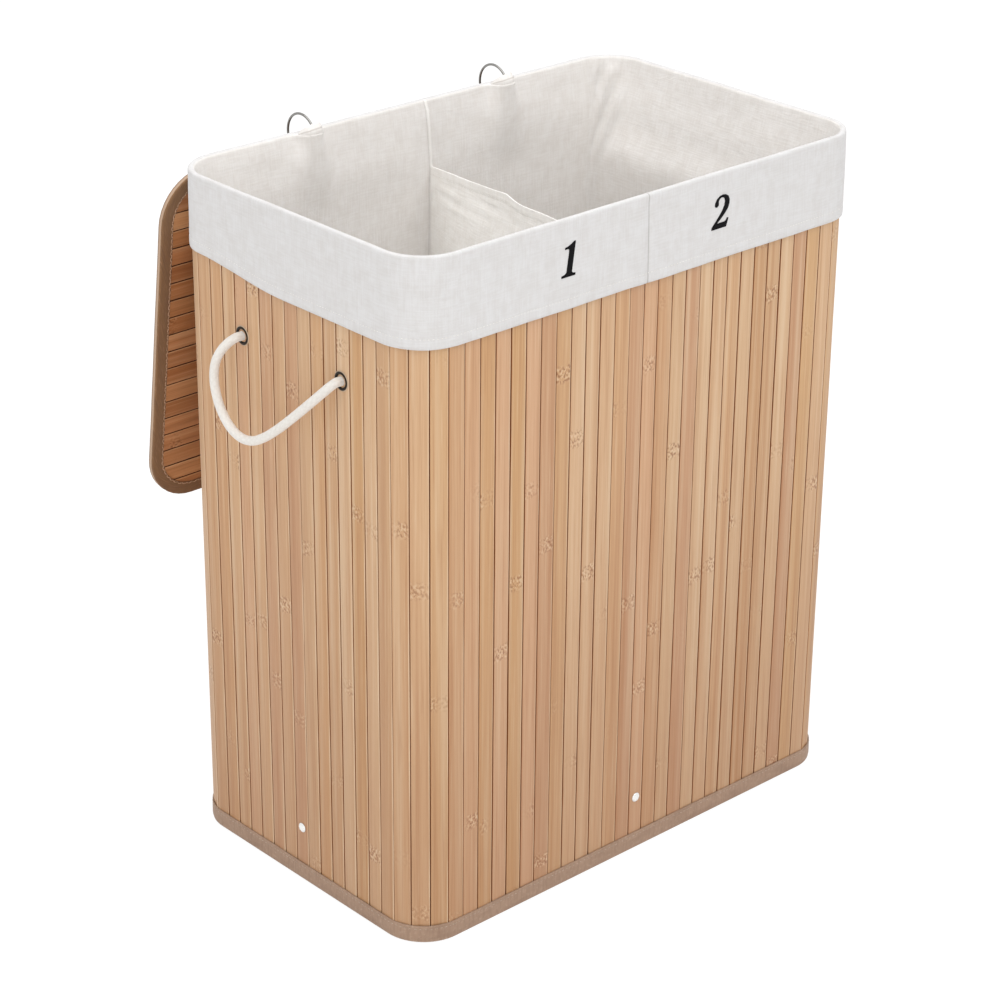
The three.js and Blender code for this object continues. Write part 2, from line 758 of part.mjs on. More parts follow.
function makeHandles() {
  for (const name of ['left', 'right']) {
    const { out } = walls[name];
    for (const [end, along] of [['front', -handle_eyelet_spacing / 2], ['back', handle_eyelet_spacing / 2]]) {
      const place = onWall(name, along, handle_eyelet_height);
      add(`handle_eyelet_${name}_${end}`, aimed(eyeletOf(wall_thickness), out, place), dark_metal);
      const reach = eyelet_outer_reach + rope_stub;
      add(`rope_end_${name}_${end}`, aimed(ropeEnd(reach), out, place), rope_cotton);
    }
    const points = rope_route.map(([away, back, up]) => (
      new THREE.Vector3(out.x * (half_width + away), back, handle_eyelet_height + up)
    ));
    const section = new THREE.Shape(Array.from({ length: rope_sides }, (_, i) => {
      const angle = (2 * Math.PI * i) / rope_sides;
      return new THREE.Vector2(rope_radius * Math.cos(angle), rope_radius * Math.sin(angle));
    }));
    const rope = new THREE.ExtrudeGeometry(section, {
      steps: rope_steps,
      bevelEnabled: false,
      extrudePath: new THREE.CatmullRomCurve3(points, false, 'centripetal'),
    });
    add(`rope_handle_${name}`, closed(rope), rope_cotton);
  }
}

function makeRings() {
  ring_xs.forEach((x, i) => {
    const name = ['left', 'right'][i];
    const place = onWall('back', x, body_height - ring_eyelet_drop);
    add(`ring_eyelet_${name}`, aimed(eyeletOf(wall_thickness), walls.back.out, place), dark_metal);
    const ring = new THREE.TorusGeometry(ring_radius, ring_wire_radius, wire_sides, ring_steps);
    ring.rotateY(Math.PI / 2).translate(x, ring_centre.x, ring_centre.y);
    add(`lid_ring_${name}`, closed(ring), steel);
  });
}

// The lid is made lying closed, its origin on the line of its eyelets, then turned to hang
function makeLid() {
  const lid = new THREE.Group();
  lid.position.set(0, lid_hang.x, lid_hang.y);
  lid.rotation.x = -lid_turn;
  hamper.add(lid);

  const middle_y = lid_eyelet_inset - lid_depth / 2;
  const panel_edge = lid_tape_thickness + seat_gap;
  const panel = roundedStations(lid_width, lid_depth, lid_corner_radius);
  const outline = offsetPoints(panel, -panel_edge).map((p) => p.add(new THREE.Vector2(0, middle_y)));
  const bottom = -lid_stack / 2;
  const slat_bottom = bottom + lid_board_thickness + seat_gap;
  const holes = ring_xs.map((x) => drill(
    eyelet_barrel_radius + seat_gap,
    lid_stack,
    new THREE.Vector3(0, 0, 1),
    new THREE.Vector3(x, 0, 0),
  ));
  add('lid_board', cut(plate(outline, lid_board_thickness, bottom), holes), hardboard, lid);

  const count = Math.floor((lid_depth - 2 * panel_edge) / slat_pitch);
  const grooves = Array.from({ length: count + 1 }, (_, i) => {
    const groove = new THREE.BoxGeometry(lid_width + 2 * cut_overrun, slat_gap, 2 * lid_groove_depth);
    return groove.translate(0, middle_y + (i - count / 2) * slat_pitch, slat_bottom + lid_slat_thickness);
  });
  const slats = plate(outline, lid_slat_thickness, slat_bottom);
  add('lid_slat_mat', cut(slats, [...grooves, ...holes]), lid_bamboo, lid);

  const high = lid_half_thickness;
  const channel = [
    [0, -high],
    [0, high],
    [-lid_tape_width, high],
    [-lid_tape_width, high - lid_tape_thickness],
    [-lid_tape_thickness, high - lid_tape_thickness],
    [-lid_tape_thickness, -(high - lid_tape_thickness)],
    [-lid_tape_width, -(high - lid_tape_thickness)],
    [-lid_tape_width, -high],
  ];
  const binding = sweep(channel, panel, true).translate(0, middle_y, 0);
  add('lid_binding', cut(binding, holes), tape, lid);

  ring_xs.forEach((x, i) => {
    const eyelet = eyeletOf(2 * lid_half_thickness);
    const place = new THREE.Vector3(x, 0, lid_half_thickness);
    add(`lid_eyelet_${['left', 'right'][i]}`, aimed(eyelet, new THREE.Vector3(0, 0, 1), place), dark_metal, lid);
  });
}

makeMats();
makeTapes();
makeBrace();
makeRivets();
makeBoard();
makeLiner();
makeSkirt();
makeHandles();
makeRings();
makeLid();

// The origin is on the floor, under the middle of the hamper with its lid hanging behind it
hamper.updateMatrixWorld(true);
const box = new THREE.Box3();
hamper.traverse((node) => {
  if (node.isMesh && !node.name.startsWith('rope')) {
    box.expandByObject(node, true);
  }
});
hamper.position.y = -(box.min.y + box.max.y) / 2;

export default hamper;
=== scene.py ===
"""A laundry hamper of bamboo slats with a cotton liner of two bins, rope handles and a hanging lid.

Sizes in the functions are millimetres round the body's middle; place() turns them into the frame.
"""

import math
import random

import bmesh
import bpy
from mathutils import Matrix, Vector, noise


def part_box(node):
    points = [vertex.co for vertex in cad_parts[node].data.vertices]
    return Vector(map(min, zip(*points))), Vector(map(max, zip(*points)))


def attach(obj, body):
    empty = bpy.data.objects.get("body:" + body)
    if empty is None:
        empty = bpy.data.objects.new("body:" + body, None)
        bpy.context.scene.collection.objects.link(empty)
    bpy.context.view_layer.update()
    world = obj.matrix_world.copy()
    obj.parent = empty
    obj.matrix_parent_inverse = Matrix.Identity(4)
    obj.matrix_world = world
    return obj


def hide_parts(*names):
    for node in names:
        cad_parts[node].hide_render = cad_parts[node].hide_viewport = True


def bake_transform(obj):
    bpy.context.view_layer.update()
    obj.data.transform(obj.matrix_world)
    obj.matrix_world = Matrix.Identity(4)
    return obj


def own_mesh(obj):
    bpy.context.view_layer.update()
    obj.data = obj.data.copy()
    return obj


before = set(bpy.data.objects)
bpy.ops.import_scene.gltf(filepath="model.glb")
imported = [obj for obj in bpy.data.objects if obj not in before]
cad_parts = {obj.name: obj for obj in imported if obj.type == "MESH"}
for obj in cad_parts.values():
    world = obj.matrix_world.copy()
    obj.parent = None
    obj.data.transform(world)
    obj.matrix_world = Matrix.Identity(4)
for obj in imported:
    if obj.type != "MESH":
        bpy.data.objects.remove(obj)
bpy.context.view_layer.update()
scene = bpy.context.scene
dice = random.Random(5)

# The camera of the photograph
camera = bpy.data.objects.new("camera", bpy.data.cameras.new("camera"))
scene.collection.objects.link(camera)
camera.data.lens = 105.05
camera.data.sensor_width = 36
camera.data.clip_end = 50
forward = Vector((0.6113, 0.6678, -0.4247)).normalized()
right = Vector((0.7402, -0.6723, 0.0083))
right = (right - forward * right.dot(forward)).normalized()
up = right.cross(forward)
camera.matrix_world = Matrix(
    (
        (right.x, up.x, -forward.x, -1.630),
        (right.y, up.y, -forward.y, -1.780),
        (right.z, up.z, -forward.z, 1.417),
        (0, 0, 0, 1),
    )
)
scene.camera = camera
scene.view_settings.view_transform = "Standard"

# Sizes taken from the frame, in millimetres
front_low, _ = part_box("mat_front")
_, back_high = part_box("mat_back")
_, right_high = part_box("mat_right")
HALF_DEPTH = (back_high.y - front_low.y) * 500
HALF_WIDTH = right_high.x * 1000
MIDDLE_Y = (back_high.y + front_low.y) * 500
MAT_BOTTOM = front_low.z * 1000
MAT_TOP = right_high.z * 1000
BODY_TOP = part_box("top_binding")[1].z * 1000
FLOOR_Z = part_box("liner_floor_left")[1].z * 1000

# Sizes of the hamper's parts, in millimetres
PITCH = 16.66  # of the wall's slats
SLAT_GAP = 1.05
SLAT_THICKNESS = 2.2
FRONT_SLATS, SIDE_SLATS, CORNER_SLATS = 27, 15, 3
CORNER_RADIUS = 40.5  # of the round corner that passes closest to the flat slats
RING_XS = (-113, 113)  # of the lid's two rings
# Where the cloth has points beside a ring, so that it can be slit and folded there
RING_COLUMNS = (-22, -18, -15, -12.5, -10, -7.5, -5, -1.9, 1.9, 5, 7.5, 10, 12.5, 15, 18, 22)
FRONT_SEAM, BACK_SEAM = -8, 22  # where the liner's seams stand along X
EYELET_HEIGHT, EYELET_ALONG = 503, 65  # of the rope's eyelets: up, and from the middle along Y
RING_EYELET_Z = 608.5
RING_RADIUS, WIRE_RADIUS = 19, 1.15
RIVET_HEIGHT = 53


def place(x, y, z):
    """A point in the frame, in metres, from millimetres round the body's middle."""
    return Vector((x, y + MIDDLE_Y, z)) / 1000


def smooth(a, b, t):
    """0 where t is at a, 1 where it is at b, and eased between."""
    t = min(1, max(0, (t - a) / (b - a)))
    return t * t * (3 - 2 * t)


def rough(x, y, z, size, seed=0):
    """Smooth noise from about -1 to 1. size is the width of its waves in millimetres."""
    return noise.noise(Vector((x / size + 17 * seed, y / size - 5 * seed, z / size + 3 * seed)))


# Materials

EASED = {"interpolation_type": "SMOOTHSTEP"}


def linear(code):
    """An sRGB hex value as linear red, green and blue, with alpha 1."""
    parts = [int(code[i : i + 2], 16) / 255 for i in (1, 3, 5)]
    return [c / 12.92 if c <= 0.04045 else ((c + 0.055) / 1.055) ** 2.4 for c in parts] + [1]


def add(tree, kind, sockets=None, output=0, **settings):
    """One shader node with its settings. Each socket gets a value or another node's output.
    Returns the node's output of that number or name, or the node itself where it has none."""
    node = tree.nodes.new("ShaderNode" + kind)
    for name, value in settings.items():
        setattr(node, name, value)
    for key, value in (sockets or {}).items():
        if isinstance(value, bpy.types.NodeSocket):
            tree.links.new(value, node.inputs[key])
        else:
            node.inputs[key].default_value = value
    return node.outputs[output] if node.outputs else node


def started(name, inputs):
    """A new material and its tree, with values for its main shader."""
    made = bpy.data.materials.new(name)
    made.use_nodes = True
    for key, value in inputs.items():
        made.node_tree.nodes["Principled BSDF"].inputs[key].default_value = value
    return made, made.node_tree


def finished(made, colour, terms, strength, depth):
    """Joins a colour and a fine relief to a material's main shader. The relief is the sum of
    (value, weight) terms, drawn depth metres deep."""
    tree = made.node_tree
    shader = tree.nodes["Principled BSDF"].inputs
    height = 0.0
    for value, weight in terms:
        height = add(tree, "Math", {0: value, 1: weight, 2: height}, operation="MULTIPLY_ADD")
    relief = add(tree, "Bump", {"Height": height, "Strength": strength, "Distance": depth})
    tree.links.new(colour, shader["Base Color"])
    tree.links.new(relief, shader["Normal"])
    return made


def layered(tree, colour, *layers):
    """Lays colours over a first one. Each layer is its share, its colour, and its blending if that
    isn't plain. A share is a value, or (value, where it starts, where it is full, its most)."""
    for share, code, *how in layers:
        if isinstance(share, tuple):
            value, start, full, most = share
            share = add(tree, "MapRange", {0: value, 1: start, 2: full, 4: most}, **EASED)
        colour = add(
            tree, "Mix", {0: share, 6: colour, 7: linear(code)}, 2, data_type="RGBA",
            blend_type=how[0] if how else "MIX",
        )
    return colour


def pattern(tree, waves, turn=0.0, detail=2.0, roughness=0.5, distortion=0.0):
    """Noise of so many waves to a metre: across and along the surface's own flat map, or, where
    waves is one number, all through the piece."""
    if isinstance(waves, tuple):
        where, scale = add(tree, "UVMap", uv_map="flat"), (*waves, 1)
    else:
        where, scale = add(tree, "TexCoord", output="Object"), (waves, waves, waves)
    mapped = add(tree, "Mapping", {"Vector": where, "Rotation": (0, 0, turn), "Scale": scale})
    return add(
        tree, "TexNoise",
        {"Vector": mapped, "Scale": 1.0, "Detail": detail, "Roughness": roughness, "Distortion": distortion},
    )


def bamboo(name, tints, deep, mark, pale, gap_shade_code, roughness, lower):
    """Varnished bamboo. Every slat has its own tint, bands 8 mm wide, fibres along it and speckled
    nodes. A pale strip along one edge of each slat is a painted highlight broken up by wear, and the
    dark sides are painted shade in the gaps between slats. The fibres are drawn 2 mm wide, coarser than
    the real ones. lower is how much darker the wall is painted towards the floor, as painted shade."""
    made, tree = started(name, {"Roughness": roughness, "IOR": 1.5})
    up = add(tree, "SeparateXYZ", {0: add(tree, "UVMap", uv_map="flat")}, 1)
    tint, tone, across, depth = (
        add(tree, "Attribute", output="Fac", attribute_name=kind)
        for kind in ("tint", "tone", "across", "depth")
    )
    colour = add(tree, "ValToRGB", {0: tint})
    stops = colour.node.color_ramp.elements
    for i, code in enumerate(tints):
        at = i / (len(tints) - 1)
        stop = stops[i] if i < 2 else stops.new(at)
        stop.position = at
        stop.color = linear(code)
    band = pattern(tree, (130, 1.6))
    fibre = pattern(tree, (480, 7), detail=4, roughness=0.7)
    # A node is a patch of short curled dashes, dark and light, about 310 mm from the next
    cell = add(tree, "Math", {0: tone, 1: 3.1, 2: up}, operation="MULTIPLY_ADD")
    cell = add(tree, "Math", {0: cell, 1: 0.155}, operation="PINGPONG")
    cell = add(tree, "Math", {0: pattern(tree, (170, 60)), 1: 0.008, 2: cell}, operation="MULTIPLY_ADD")
    near = add(tree, "MapRange", {0: cell, 1: 0.0135, 2: 0.0085}, **EASED)
    faint = add(tree, "MapRange", {0: pattern(tree, (34, 3)), 1: 0.38, 2: 0.62, 3: 0.05, 4: 0.9}, **EASED)
    speckled = add(tree, "Math", {0: near, 1: faint}, operation="MULTIPLY")
    dash = pattern(tree, (470, 330), turn=0.7, detail=1)
    dark = add(tree, "MapRange", {0: dash, 1: 0.53, 2: 0.6, 4: 0.7}, **EASED)
    light = add(tree, "MapRange", {0: dash, 1: 0.46, 2: 0.39, 4: 0.55}, **EASED)
    # A painted highlight along one edge of every slat, the same side on each, broken up by wear
    edge = add(tree, "MapRange", {0: across, 1: 0.82, 2: 0.96}, **EASED)
    worn = add(tree, "MapRange", {0: pattern(tree, (20, 14)), 1: 0.35, 2: 0.65, 3: 0.25, 4: 0.75}, **EASED)
    dark, light, edge = (
        add(tree, "Math", {0: one, 1: two}, operation="MULTIPLY")
        for one, two in ((speckled, dark), (speckled, light), (edge, worn))
    )
    # Painted shade: the wall darkens towards the floor by lower, and the slats' sides, seen in the gaps
    # between them, take a dark colour
    colour = layered(
        tree, colour,
        ((band, 0.5, 0.75, 0.4), deep), ((band, 0.5, 0.25, 0.4), pale),
        ((fibre, 0.48, 0.75, 0.5), deep), ((fibre, 0.48, 0.25, 0.42), pale),
        ((up, 0.5, 0.0, lower), mark), (dark, mark), (light, pale), (edge, pale),
        ((depth, 0.1, 0.4, 1.0), gap_shade_code),
    )
    return finished(made, colour, [(band, 2.0), (fibre, 1.0)], 0.35, 0.0003)


def cloth(name, code, crush, inner=None, roughness=0.9, sheen=0.1):
    """Plain-woven cotton with uneven threads, drawn about 1.5 mm wide, coarser than the real ones.
    crush is how deep the small creases are. inner is a lighter colour painted on what the attribute
    inside marks, as painted light. A mark on the points paints shade (1) at the foot of a seam or
    crease and a highlight (-1) on a seam's raised edge."""
    made, tree = started(
        name, {"Roughness": roughness, "Sheen Weight": sheen, "Sheen Roughness": 0.6}
    )
    inside, crease_shading = (
        add(tree, "Attribute", output="Fac", attribute_name=kind) for kind in ("inside", "painted_crease_shading")
    )
    wrinkle = pattern(tree, (26, 26), detail=5, roughness=0.62, distortion=1.4)
    ridge = add(tree, "Math", {0: wrinkle, 1: 0.5}, operation="SUBTRACT")
    ridge = add(tree, "Math", {0: ridge}, operation="ABSOLUTE")
    mottle = pattern(tree, (85, 60), detail=4, roughness=0.62)
    threads = add(
        tree, "Math", {0: pattern(tree, (620, 45)), 1: pattern(tree, (45, 620))}, operation="ADD"
    )
    colour = layered(
        tree, linear(code),
        # Painted light: the marked cloth takes the lighter colour
        (inside, inner or code),
        ((mottle, 0.36, 0.66, 0.36), "#f0edea", "MULTIPLY"),
        ((threads, 0.8, 1.2, 0.34), "#f0edea", "MULTIPLY"),
        # Painted shade at the foot of seams and creases, and a painted highlight on a seam's raised edge
        ((crease_shading, 0.0, 1.0, 0.9), "#a9a19a", "MULTIPLY"),
        ((crease_shading, 0.0, -1.0, 0.7), "#fbf8f4"),
    )
    return finished(made, colour, [(ridge, crush), (mottle, crush * 0.5), (threads, 0.16)], 0.6, 0.0022)


def woven_tape(name, code, dark, pale, edge=None):
    """Flat polyester tape, finely ribbed. The ribs are drawn 2 mm apart, coarser than the real ones.
    edge is a painted highlight where it is folded round an edge, which the attribute fold marks."""
    made, tree = started(name, {"Roughness": 0.85, "Sheen Weight": 0.1})
    ribs = pattern(tree, (480, 60), turn=0.7, detail=1)
    fleck = pattern(tree, (300, 300), detail=3)
    worn = pattern(tree, (30, 110))
    fold_highlight = add(tree, "Attribute", output="Fac", attribute_name="fold")
    colour = layered(
        tree, linear(code),
        ((ribs, 0.4, 0.7, 0.3), dark), ((fleck, 0.5, 0.75, 0.45), pale), ((worn, 0.45, 0.75, 0.35), dark),
        # Painted highlight on the fold
        ((fold_highlight, 0.45, 0.95, 0.75 if edge else 0.0), edge or code),
    )
    return finished(made, colour, [(ribs, 1.0), (fleck, 1.0)], 0.35, 0.0005)


def braided(name, code, shade):
    """Soft braided cotton cord: strands that cross on its surface, drawn by two slanting waves."""
    made, tree = started(name, {"Roughness": 0.9, "Sheen Weight": 0.3})
    where = add(tree, "UVMap", uv_map="flat")
    waves = []
    for turn in (0.62, -0.62):
        mapped = add(tree, "Mapping", {"Vector": where, "Rotation": (0, 0, turn)})
        strand = {"Vector": mapped, "Scale": 72.0, "Distortion": 0.5, "Detail": 1.0}
        waves.append(add(tree, "TexWave", strand, "Fac"))
    strands = add(tree, "Math", {0: waves[0], 1: waves[1]}, operation="MULTIPLY")
    fuzz = pattern(tree, (500, 500), detail=3)
    colour = layered(
        tree, linear(code), ((strands, 0.35, 0.0, 0.18), shade), ((fuzz, 0.45, 0.8, 0.3), shade)
    )
    return finished(made, colour, [(fuzz, 2.0), (strands, 1.0)], 0.2, 0.0006)


def thread(name, code, shade, roughness, sheen, shine=0.5):
    """Twisted thread, its strands about 1 mm apart and in two shades."""
    made, tree = started(
        name, {"Roughness": roughness, "Sheen Weight": sheen, "Specular IOR Level": shine}
    )
    strands = pattern(tree, 900.0)
    colour = layered(tree, linear(code), ((strands, 0.4, 0.65, 1.0), shade))
    return finished(made, colour, [(strands, 1.0)], 0.4, 0.0003)


def metal(name, code, worn_code, roughness, waves=300.0, worn=(0.55, 0.8), rim=None):
    """Plated or polished metal with a little wear. rim is the colour of what the attribute marks."""
    made, tree = started(name, {"Metallic": 1.0})
    marks = pattern(tree, waves, detail=4, roughness=0.6)
    edge = add(tree, "Attribute", output="Fac", attribute_name="rim")
    colour = layered(
        tree, linear(code),
        ((marks, *worn, 0.7), worn_code), ((edge, 0.4, 0.9, 1.0 if rim else 0.0), rim or code),
    )
    ends = {0: marks, 1: 0.3, 2: 0.8, 3: roughness * 0.8, 4: roughness * 1.35}
    shader = tree.nodes["Principled BSDF"].inputs
    tree.links.new(add(tree, "MapRange", ends, **EASED), shader["Roughness"])
    return finished(made, colour, [(marks, 1.0)], 0.15, 0.0002)


def board(name, code, dark, pale):
    """Pressed hardboard: matted brown fibres, drawn a little longer than the real ones."""
    made, tree = started(name, {"Roughness": 0.8})
    fibre = pattern(tree, 240.0, detail=5, distortion=2.5)
    cloud = pattern(tree, 60.0, detail=4)
    colour = layered(
        tree, linear(code), ((fibre, 0.4, 0.62, 1.0), dark), ((cloud, 0.45, 0.75, 0.25), pale)
    )
    return finished(made, colour, [(fibre, 1.0)], 0.3, 0.0004)


# Bamboo, split, planed and varnished satin: warm light brown with a broad soft sheen, and each
# slat in a tint of its own
slat_finish = bamboo(
    "satin_bamboo",
    ("#cba07c", "#c29565", "#cea984", "#ba8b5f", "#d1b08c", "#c69b72", "#bf9370", "#cba375"),
    # Painted shade: the sides' dark colour and the darkening towards the floor
    "#a56f43", "#7f4924", "#ddc5a5", "#9a5a2b", 0.52, 0.3,
)
# The same bamboo painted a deeper, redder brown as the shade that the lid hangs in, with dark sides as
# painted shade and a pale edge as a painted highlight broken by wear
lid_finish = bamboo(
    "bamboo_painted_shade",
    ("#ba7e4f", "#ab6e41", "#c6895b", "#9e6339", "#cc9262", "#b4784d"),
    "#84502b", "#5a3015", "#d9aa7f", "#553018", 0.55, 0.0,
)
# Cotton backing painted dark brown as the shade in the gaps between slats: quite dull, so that the gaps read
# as dark lines
gap_shade_backing = cloth("backing_cloth_gap_shade", "#6c3f20", 0.6, roughness=0.95)
# Polyester tape woven with a slanting rib: dull taupe with pale flecks
tape_finish = woven_tape("taupe_tape", "#a18570", "#816654", "#baa08c")
# The same taupe tape painted darker, as the shade that the lid hangs in, with a painted highlight where it is
# folded round the lid's edge
lid_tape_finish = woven_tape("taupe_tape_painted_shade", "#83603f", "#64483a", "#a07b5e", edge="#c3a78f")
# Plain-woven cotton, bleached: dull white with soft small creases, painted in two tones: cooler and darker on
# the skirt as painted shade, warmer and lighter in the bins as painted light
skirt_finish = cloth("white_cotton", "#d7d6d6", 0.55, inner="#ece9e6")
# Plain-woven cotton: a warm white with deeper creases and a faint bloom, painted the lightest of the cottons
# as the light that it catches
divider_finish = cloth("cream_cotton", "#fefcf8", 0.8, sheen=0.4)
# Cotton cord, braided: dull cream, slightly fuzzy, with slanting strands
rope_finish = braided("braided_cotton", "#e3dfd9", "#cbc5bb")
# Twisted sewing cotton, bleached: small bright dashes on the cloth
white_thread = thread("white_thread", "#f4f1ec", "#d9d4cb", 0.8, 0.2)
# Twisted polyester thread, dyed taupe: a shade paler than the tape that it holds
tape_thread = thread("taupe_thread", "#b9a693", "#8d7866", 0.7, 0.2)
# Twisted polyester thread, dyed light brown: a pale zigzag on the brown tape
lid_thread = thread("brown_thread", "#c6a082", "#94704f", 0.7, 0.2)
# Embroidery cotton in satin stitch, dyed black: a dull black that hardly shines
black_thread = thread("black_satin_stitch", "#050406", "#100f12", 0.7, 0.0, shine=0.12)
# Sheet metal pressed and plated dark bronze: dark satin metal, rubbed pale round the rim
eyelet_finish = metal("dark_bronze_plating", "#312c27", "#5d5348", 0.42, rim="#c2ab93")
# Steel wire, nickel plated: grey with clear bright lines of light
ring_finish = metal("nickel_plated_wire", "#8f8d8a", "#6f6d6a", 0.3)
# Steel pressed and bright nickel plated: nearly white domes
rivet_finish = metal("bright_nickel", "#efeeeb", "#c9c6c1", 0.3)
# Strip steel, zinc plated: cool grey with soft clouds about 17 mm wide
steel_finish = metal("zinc_plated_steel", "#b9bbbc", "#8e9193", 0.4, waves=60.0, worn=(0.45, 0.7))
# Hardboard pressed from wood fibre: dull brown with matted fibres
board_finish = board("hardboard", "#8f6f52", "#6f5239", "#a98a6b")
# The same board painted dark as the shade in the gaps between the lid's slats, where it hardly shows
lid_board_finish = board("hardboard_painted_shade", "#6e4d35", "#523622", "#85644a")


# Meshes


def piece(name, shape, finish, body="root", replaces=(), sharp=0.7):
    """Makes an object of a bmesh, in place, on its body. Edges bent less than sharp are smooth."""
    bmesh.ops.recalc_face_normals(shape, faces=shape.faces)
    for edge in shape.edges:
        edge.smooth = not edge.is_manifold or edge.calc_face_angle(0) < sharp
    for face in shape.faces:
        face.smooth = True
    mesh = bpy.data.meshes.new(name)
    shape.to_mesh(mesh)
    shape.free()
    mesh.materials.append(finish)
    made = bpy.data.objects.new(name, mesh)
    scene.collection.objects.link(made)
    if body:
        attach(made, body)
    if replaces:
        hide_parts(*replaces)
    return made


def sheet(name, shape, finish, thick, body="root", replaces=(), sharp=3.0):
    """Makes a cloth piece, thick millimetres thick. Its flat map, in metres, comes with the shape."""
    made = piece(name, shape, finish, body, replaces, sharp)
    solid = made.modifiers.new("thickness", "SOLIDIFY")
    solid.thickness = thick / 1000
    solid.offset = 0
    return made


def joined(whole, part):
    """Adds one bmesh to another."""
    mesh = bpy.data.meshes.new("part")
    part.to_mesh(mesh)
    part.free()
    whole.from_mesh(mesh)
    bpy.data.meshes.remove(mesh)


def pulled(shape, line, edges):
    """Extrudes edges. Returns the new vertices, in the order of the old ones, and the new edges."""
    made = bmesh.ops.extrude_edge_only(shape, edges=edges)["geom"]
    fresh = {g for g in made if isinstance(g, bmesh.types.BMVert)}
    line = [next(e.other_vert(v) for e in v.link_edges if e.other_vert(v) in fresh) for v in line]
    return line, [g for g in made if isinstance(g, bmesh.types.BMEdge) and set(g.verts) <= fresh]


def grid(rows, flat, closed=False, holes=(), marks=None):
    """A sheet through rows of points. flat holds each point's place on the flat cloth, in metres.
    holes lists (row, column) of faces to leave out. marks names attributes, with their rows."""
    shape = bmesh.new()
    layers = {name: shape.verts.layers.float.new(name) for name in marks or {}}
    line = [shape.verts.new(p) for p in rows[0]]
    ring = list(zip(line, line[1:])) + ([(line[-1], line[0])] if closed else [])
    edges = [shape.edges.new(pair) for pair in ring]
    lines = [line]
    for row in rows[1:]:
        line, edges = pulled(shape, line, edges)
        for vert, point in zip(line, row):
            vert.co = point
        lines.append(line)
    where = {v: (r, c) for r, line in enumerate(lines) for c, v in enumerate(line)}
    for name, mark in layers.items():
        for vert, (r, c) in where.items():
            vert[mark] = marks[name][r][c]
    layer = shape.loops.layers.uv.new("flat")
    last = len(lines[0]) - 1
    gone = []
    for face in shape.faces:
        spots = [where[v] for v in face.verts]
        wraps = closed and {0, last} <= {c for _, c in spots}
        for loop in face.loops:
            r, c = where[loop.vert]
            u, v = flat[r][c]
            if wraps and c == 0:
                u = flat[r][last][0] + (rows[r][last] - rows[r][0]).length
            loop[layer].uv = (u, v)
        corner = (min(r for r, _ in spots), last if wraps else min(c for _, c in spots))
        if corner in holes:
            gone.append(face)
    bmesh.ops.delete(shape, geom=gone, context="FACES")
    return shape


def turned(profile, steps, marks=None):
    """A closed body of revolution about Z, from (radius, height) points in millimetres."""
    shape = bmesh.new()
    rim = shape.verts.layers.float.new("rim")
    verts = [shape.verts.new(Vector((r, 0, z)) / 1000) for r, z in profile]
    if marks:
        for vert, mark in zip(verts, marks):
            vert[rim] = mark
    edges = [shape.edges.new(pair) for pair in zip(verts, verts[1:])]
    if profile[0][0] > 0:
        edges.append(shape.edges.new((verts[-1], verts[0])))
    bmesh.ops.spin(
        shape, geom=verts + edges, cent=(0, 0, 0), axis=(0, 0, 1), angle=math.tau, steps=steps,
        use_merge=True,
    )
    bmesh.ops.remove_doubles(shape, verts=shape.verts, dist=1e-6)
    return shape


def aimed(shape, out, at):
    """Turns a body made about Z so that Z points out, and puts it at a point."""
    turn = out.normalized().to_track_quat("Z", "Y").to_matrix().to_4x4()
    bmesh.ops.transform(shape, matrix=Matrix.Translation(at) @ turn, verts=shape.verts)
    return shape


def tube(points, radius, sides):
    """A round body along points in metres, with capped ends and its own flat map."""
    shape = bmesh.new()
    ring = bmesh.ops.create_circle(shape, segments=sides, radius=radius)["verts"]
    local = [v.co.copy() for v in ring]
    edges = list(shape.edges)
    normal = Vector((0, 0, 1))
    rows, length = [], 0
    for i, point in enumerate(points):
        ahead = points[min(i + 1, len(points) - 1)] - points[max(i - 1, 0)]
        ahead.normalize()
        normal = (normal - ahead * normal.dot(ahead)).normalized()
        side = ahead.cross(normal)
        if i:
            length += (point - points[i - 1]).length
            ring, edges = pulled(shape, ring, edges)
        for vert, p in zip(ring, local):
            vert.co = point + normal * p.x + side * p.y
        rows.append((ring, length))
    where = {v: (length, i) for ring, length in rows for i, v in enumerate(ring)}
    layer = shape.loops.layers.uv.new("flat")
    for face in shape.faces:
        wraps = {where[v][1] for v in face.verts} >= {0, sides - 1}
        for loop in face.loops:
            length, i = where[loop.vert]
            turn = sides if wraps and i == 0 else i
            loop[layer].uv = (turn / sides * math.tau * radius, length)
    for ring, _ in (rows[0], rows[-1]):
        bmesh.ops.contextual_create(shape, geom=ring)
    return shape


def between(p, q, low, high, t):
    """The point at t on the line that is at p where t is low and at q where it is high."""
    return p * ((high - t) / (high - low)) + q * ((t - low) / (high - low))


def rounded_path(points, steps):
    """A smooth line through points, centripetal, steps to each stretch."""
    line = []
    ends = [points[0] * 2 - points[1], *points, points[-1] * 2 - points[-2]]
    for a, b, c, d in zip(ends, ends[1:], ends[2:], ends[3:]):
        at = [0.0]
        for p, q in ((a, b), (b, c), (c, d)):
            at.append(at[-1] + max(1e-6, (q - p).length) ** 0.5)
        for i in range(steps):
            t = at[1] + (at[2] - at[1]) * i / steps
            ab = between(a, b, at[0], at[1], t)
            bc = between(b, c, at[1], at[2], t)
            cd = between(c, d, at[2], at[3], t)
            abc = between(ab, bc, at[0], at[2], t)
            line.append(between(abc, between(bc, cd, at[1], at[3], t), at[1], at[2], t))
    return line + [points[-1]]


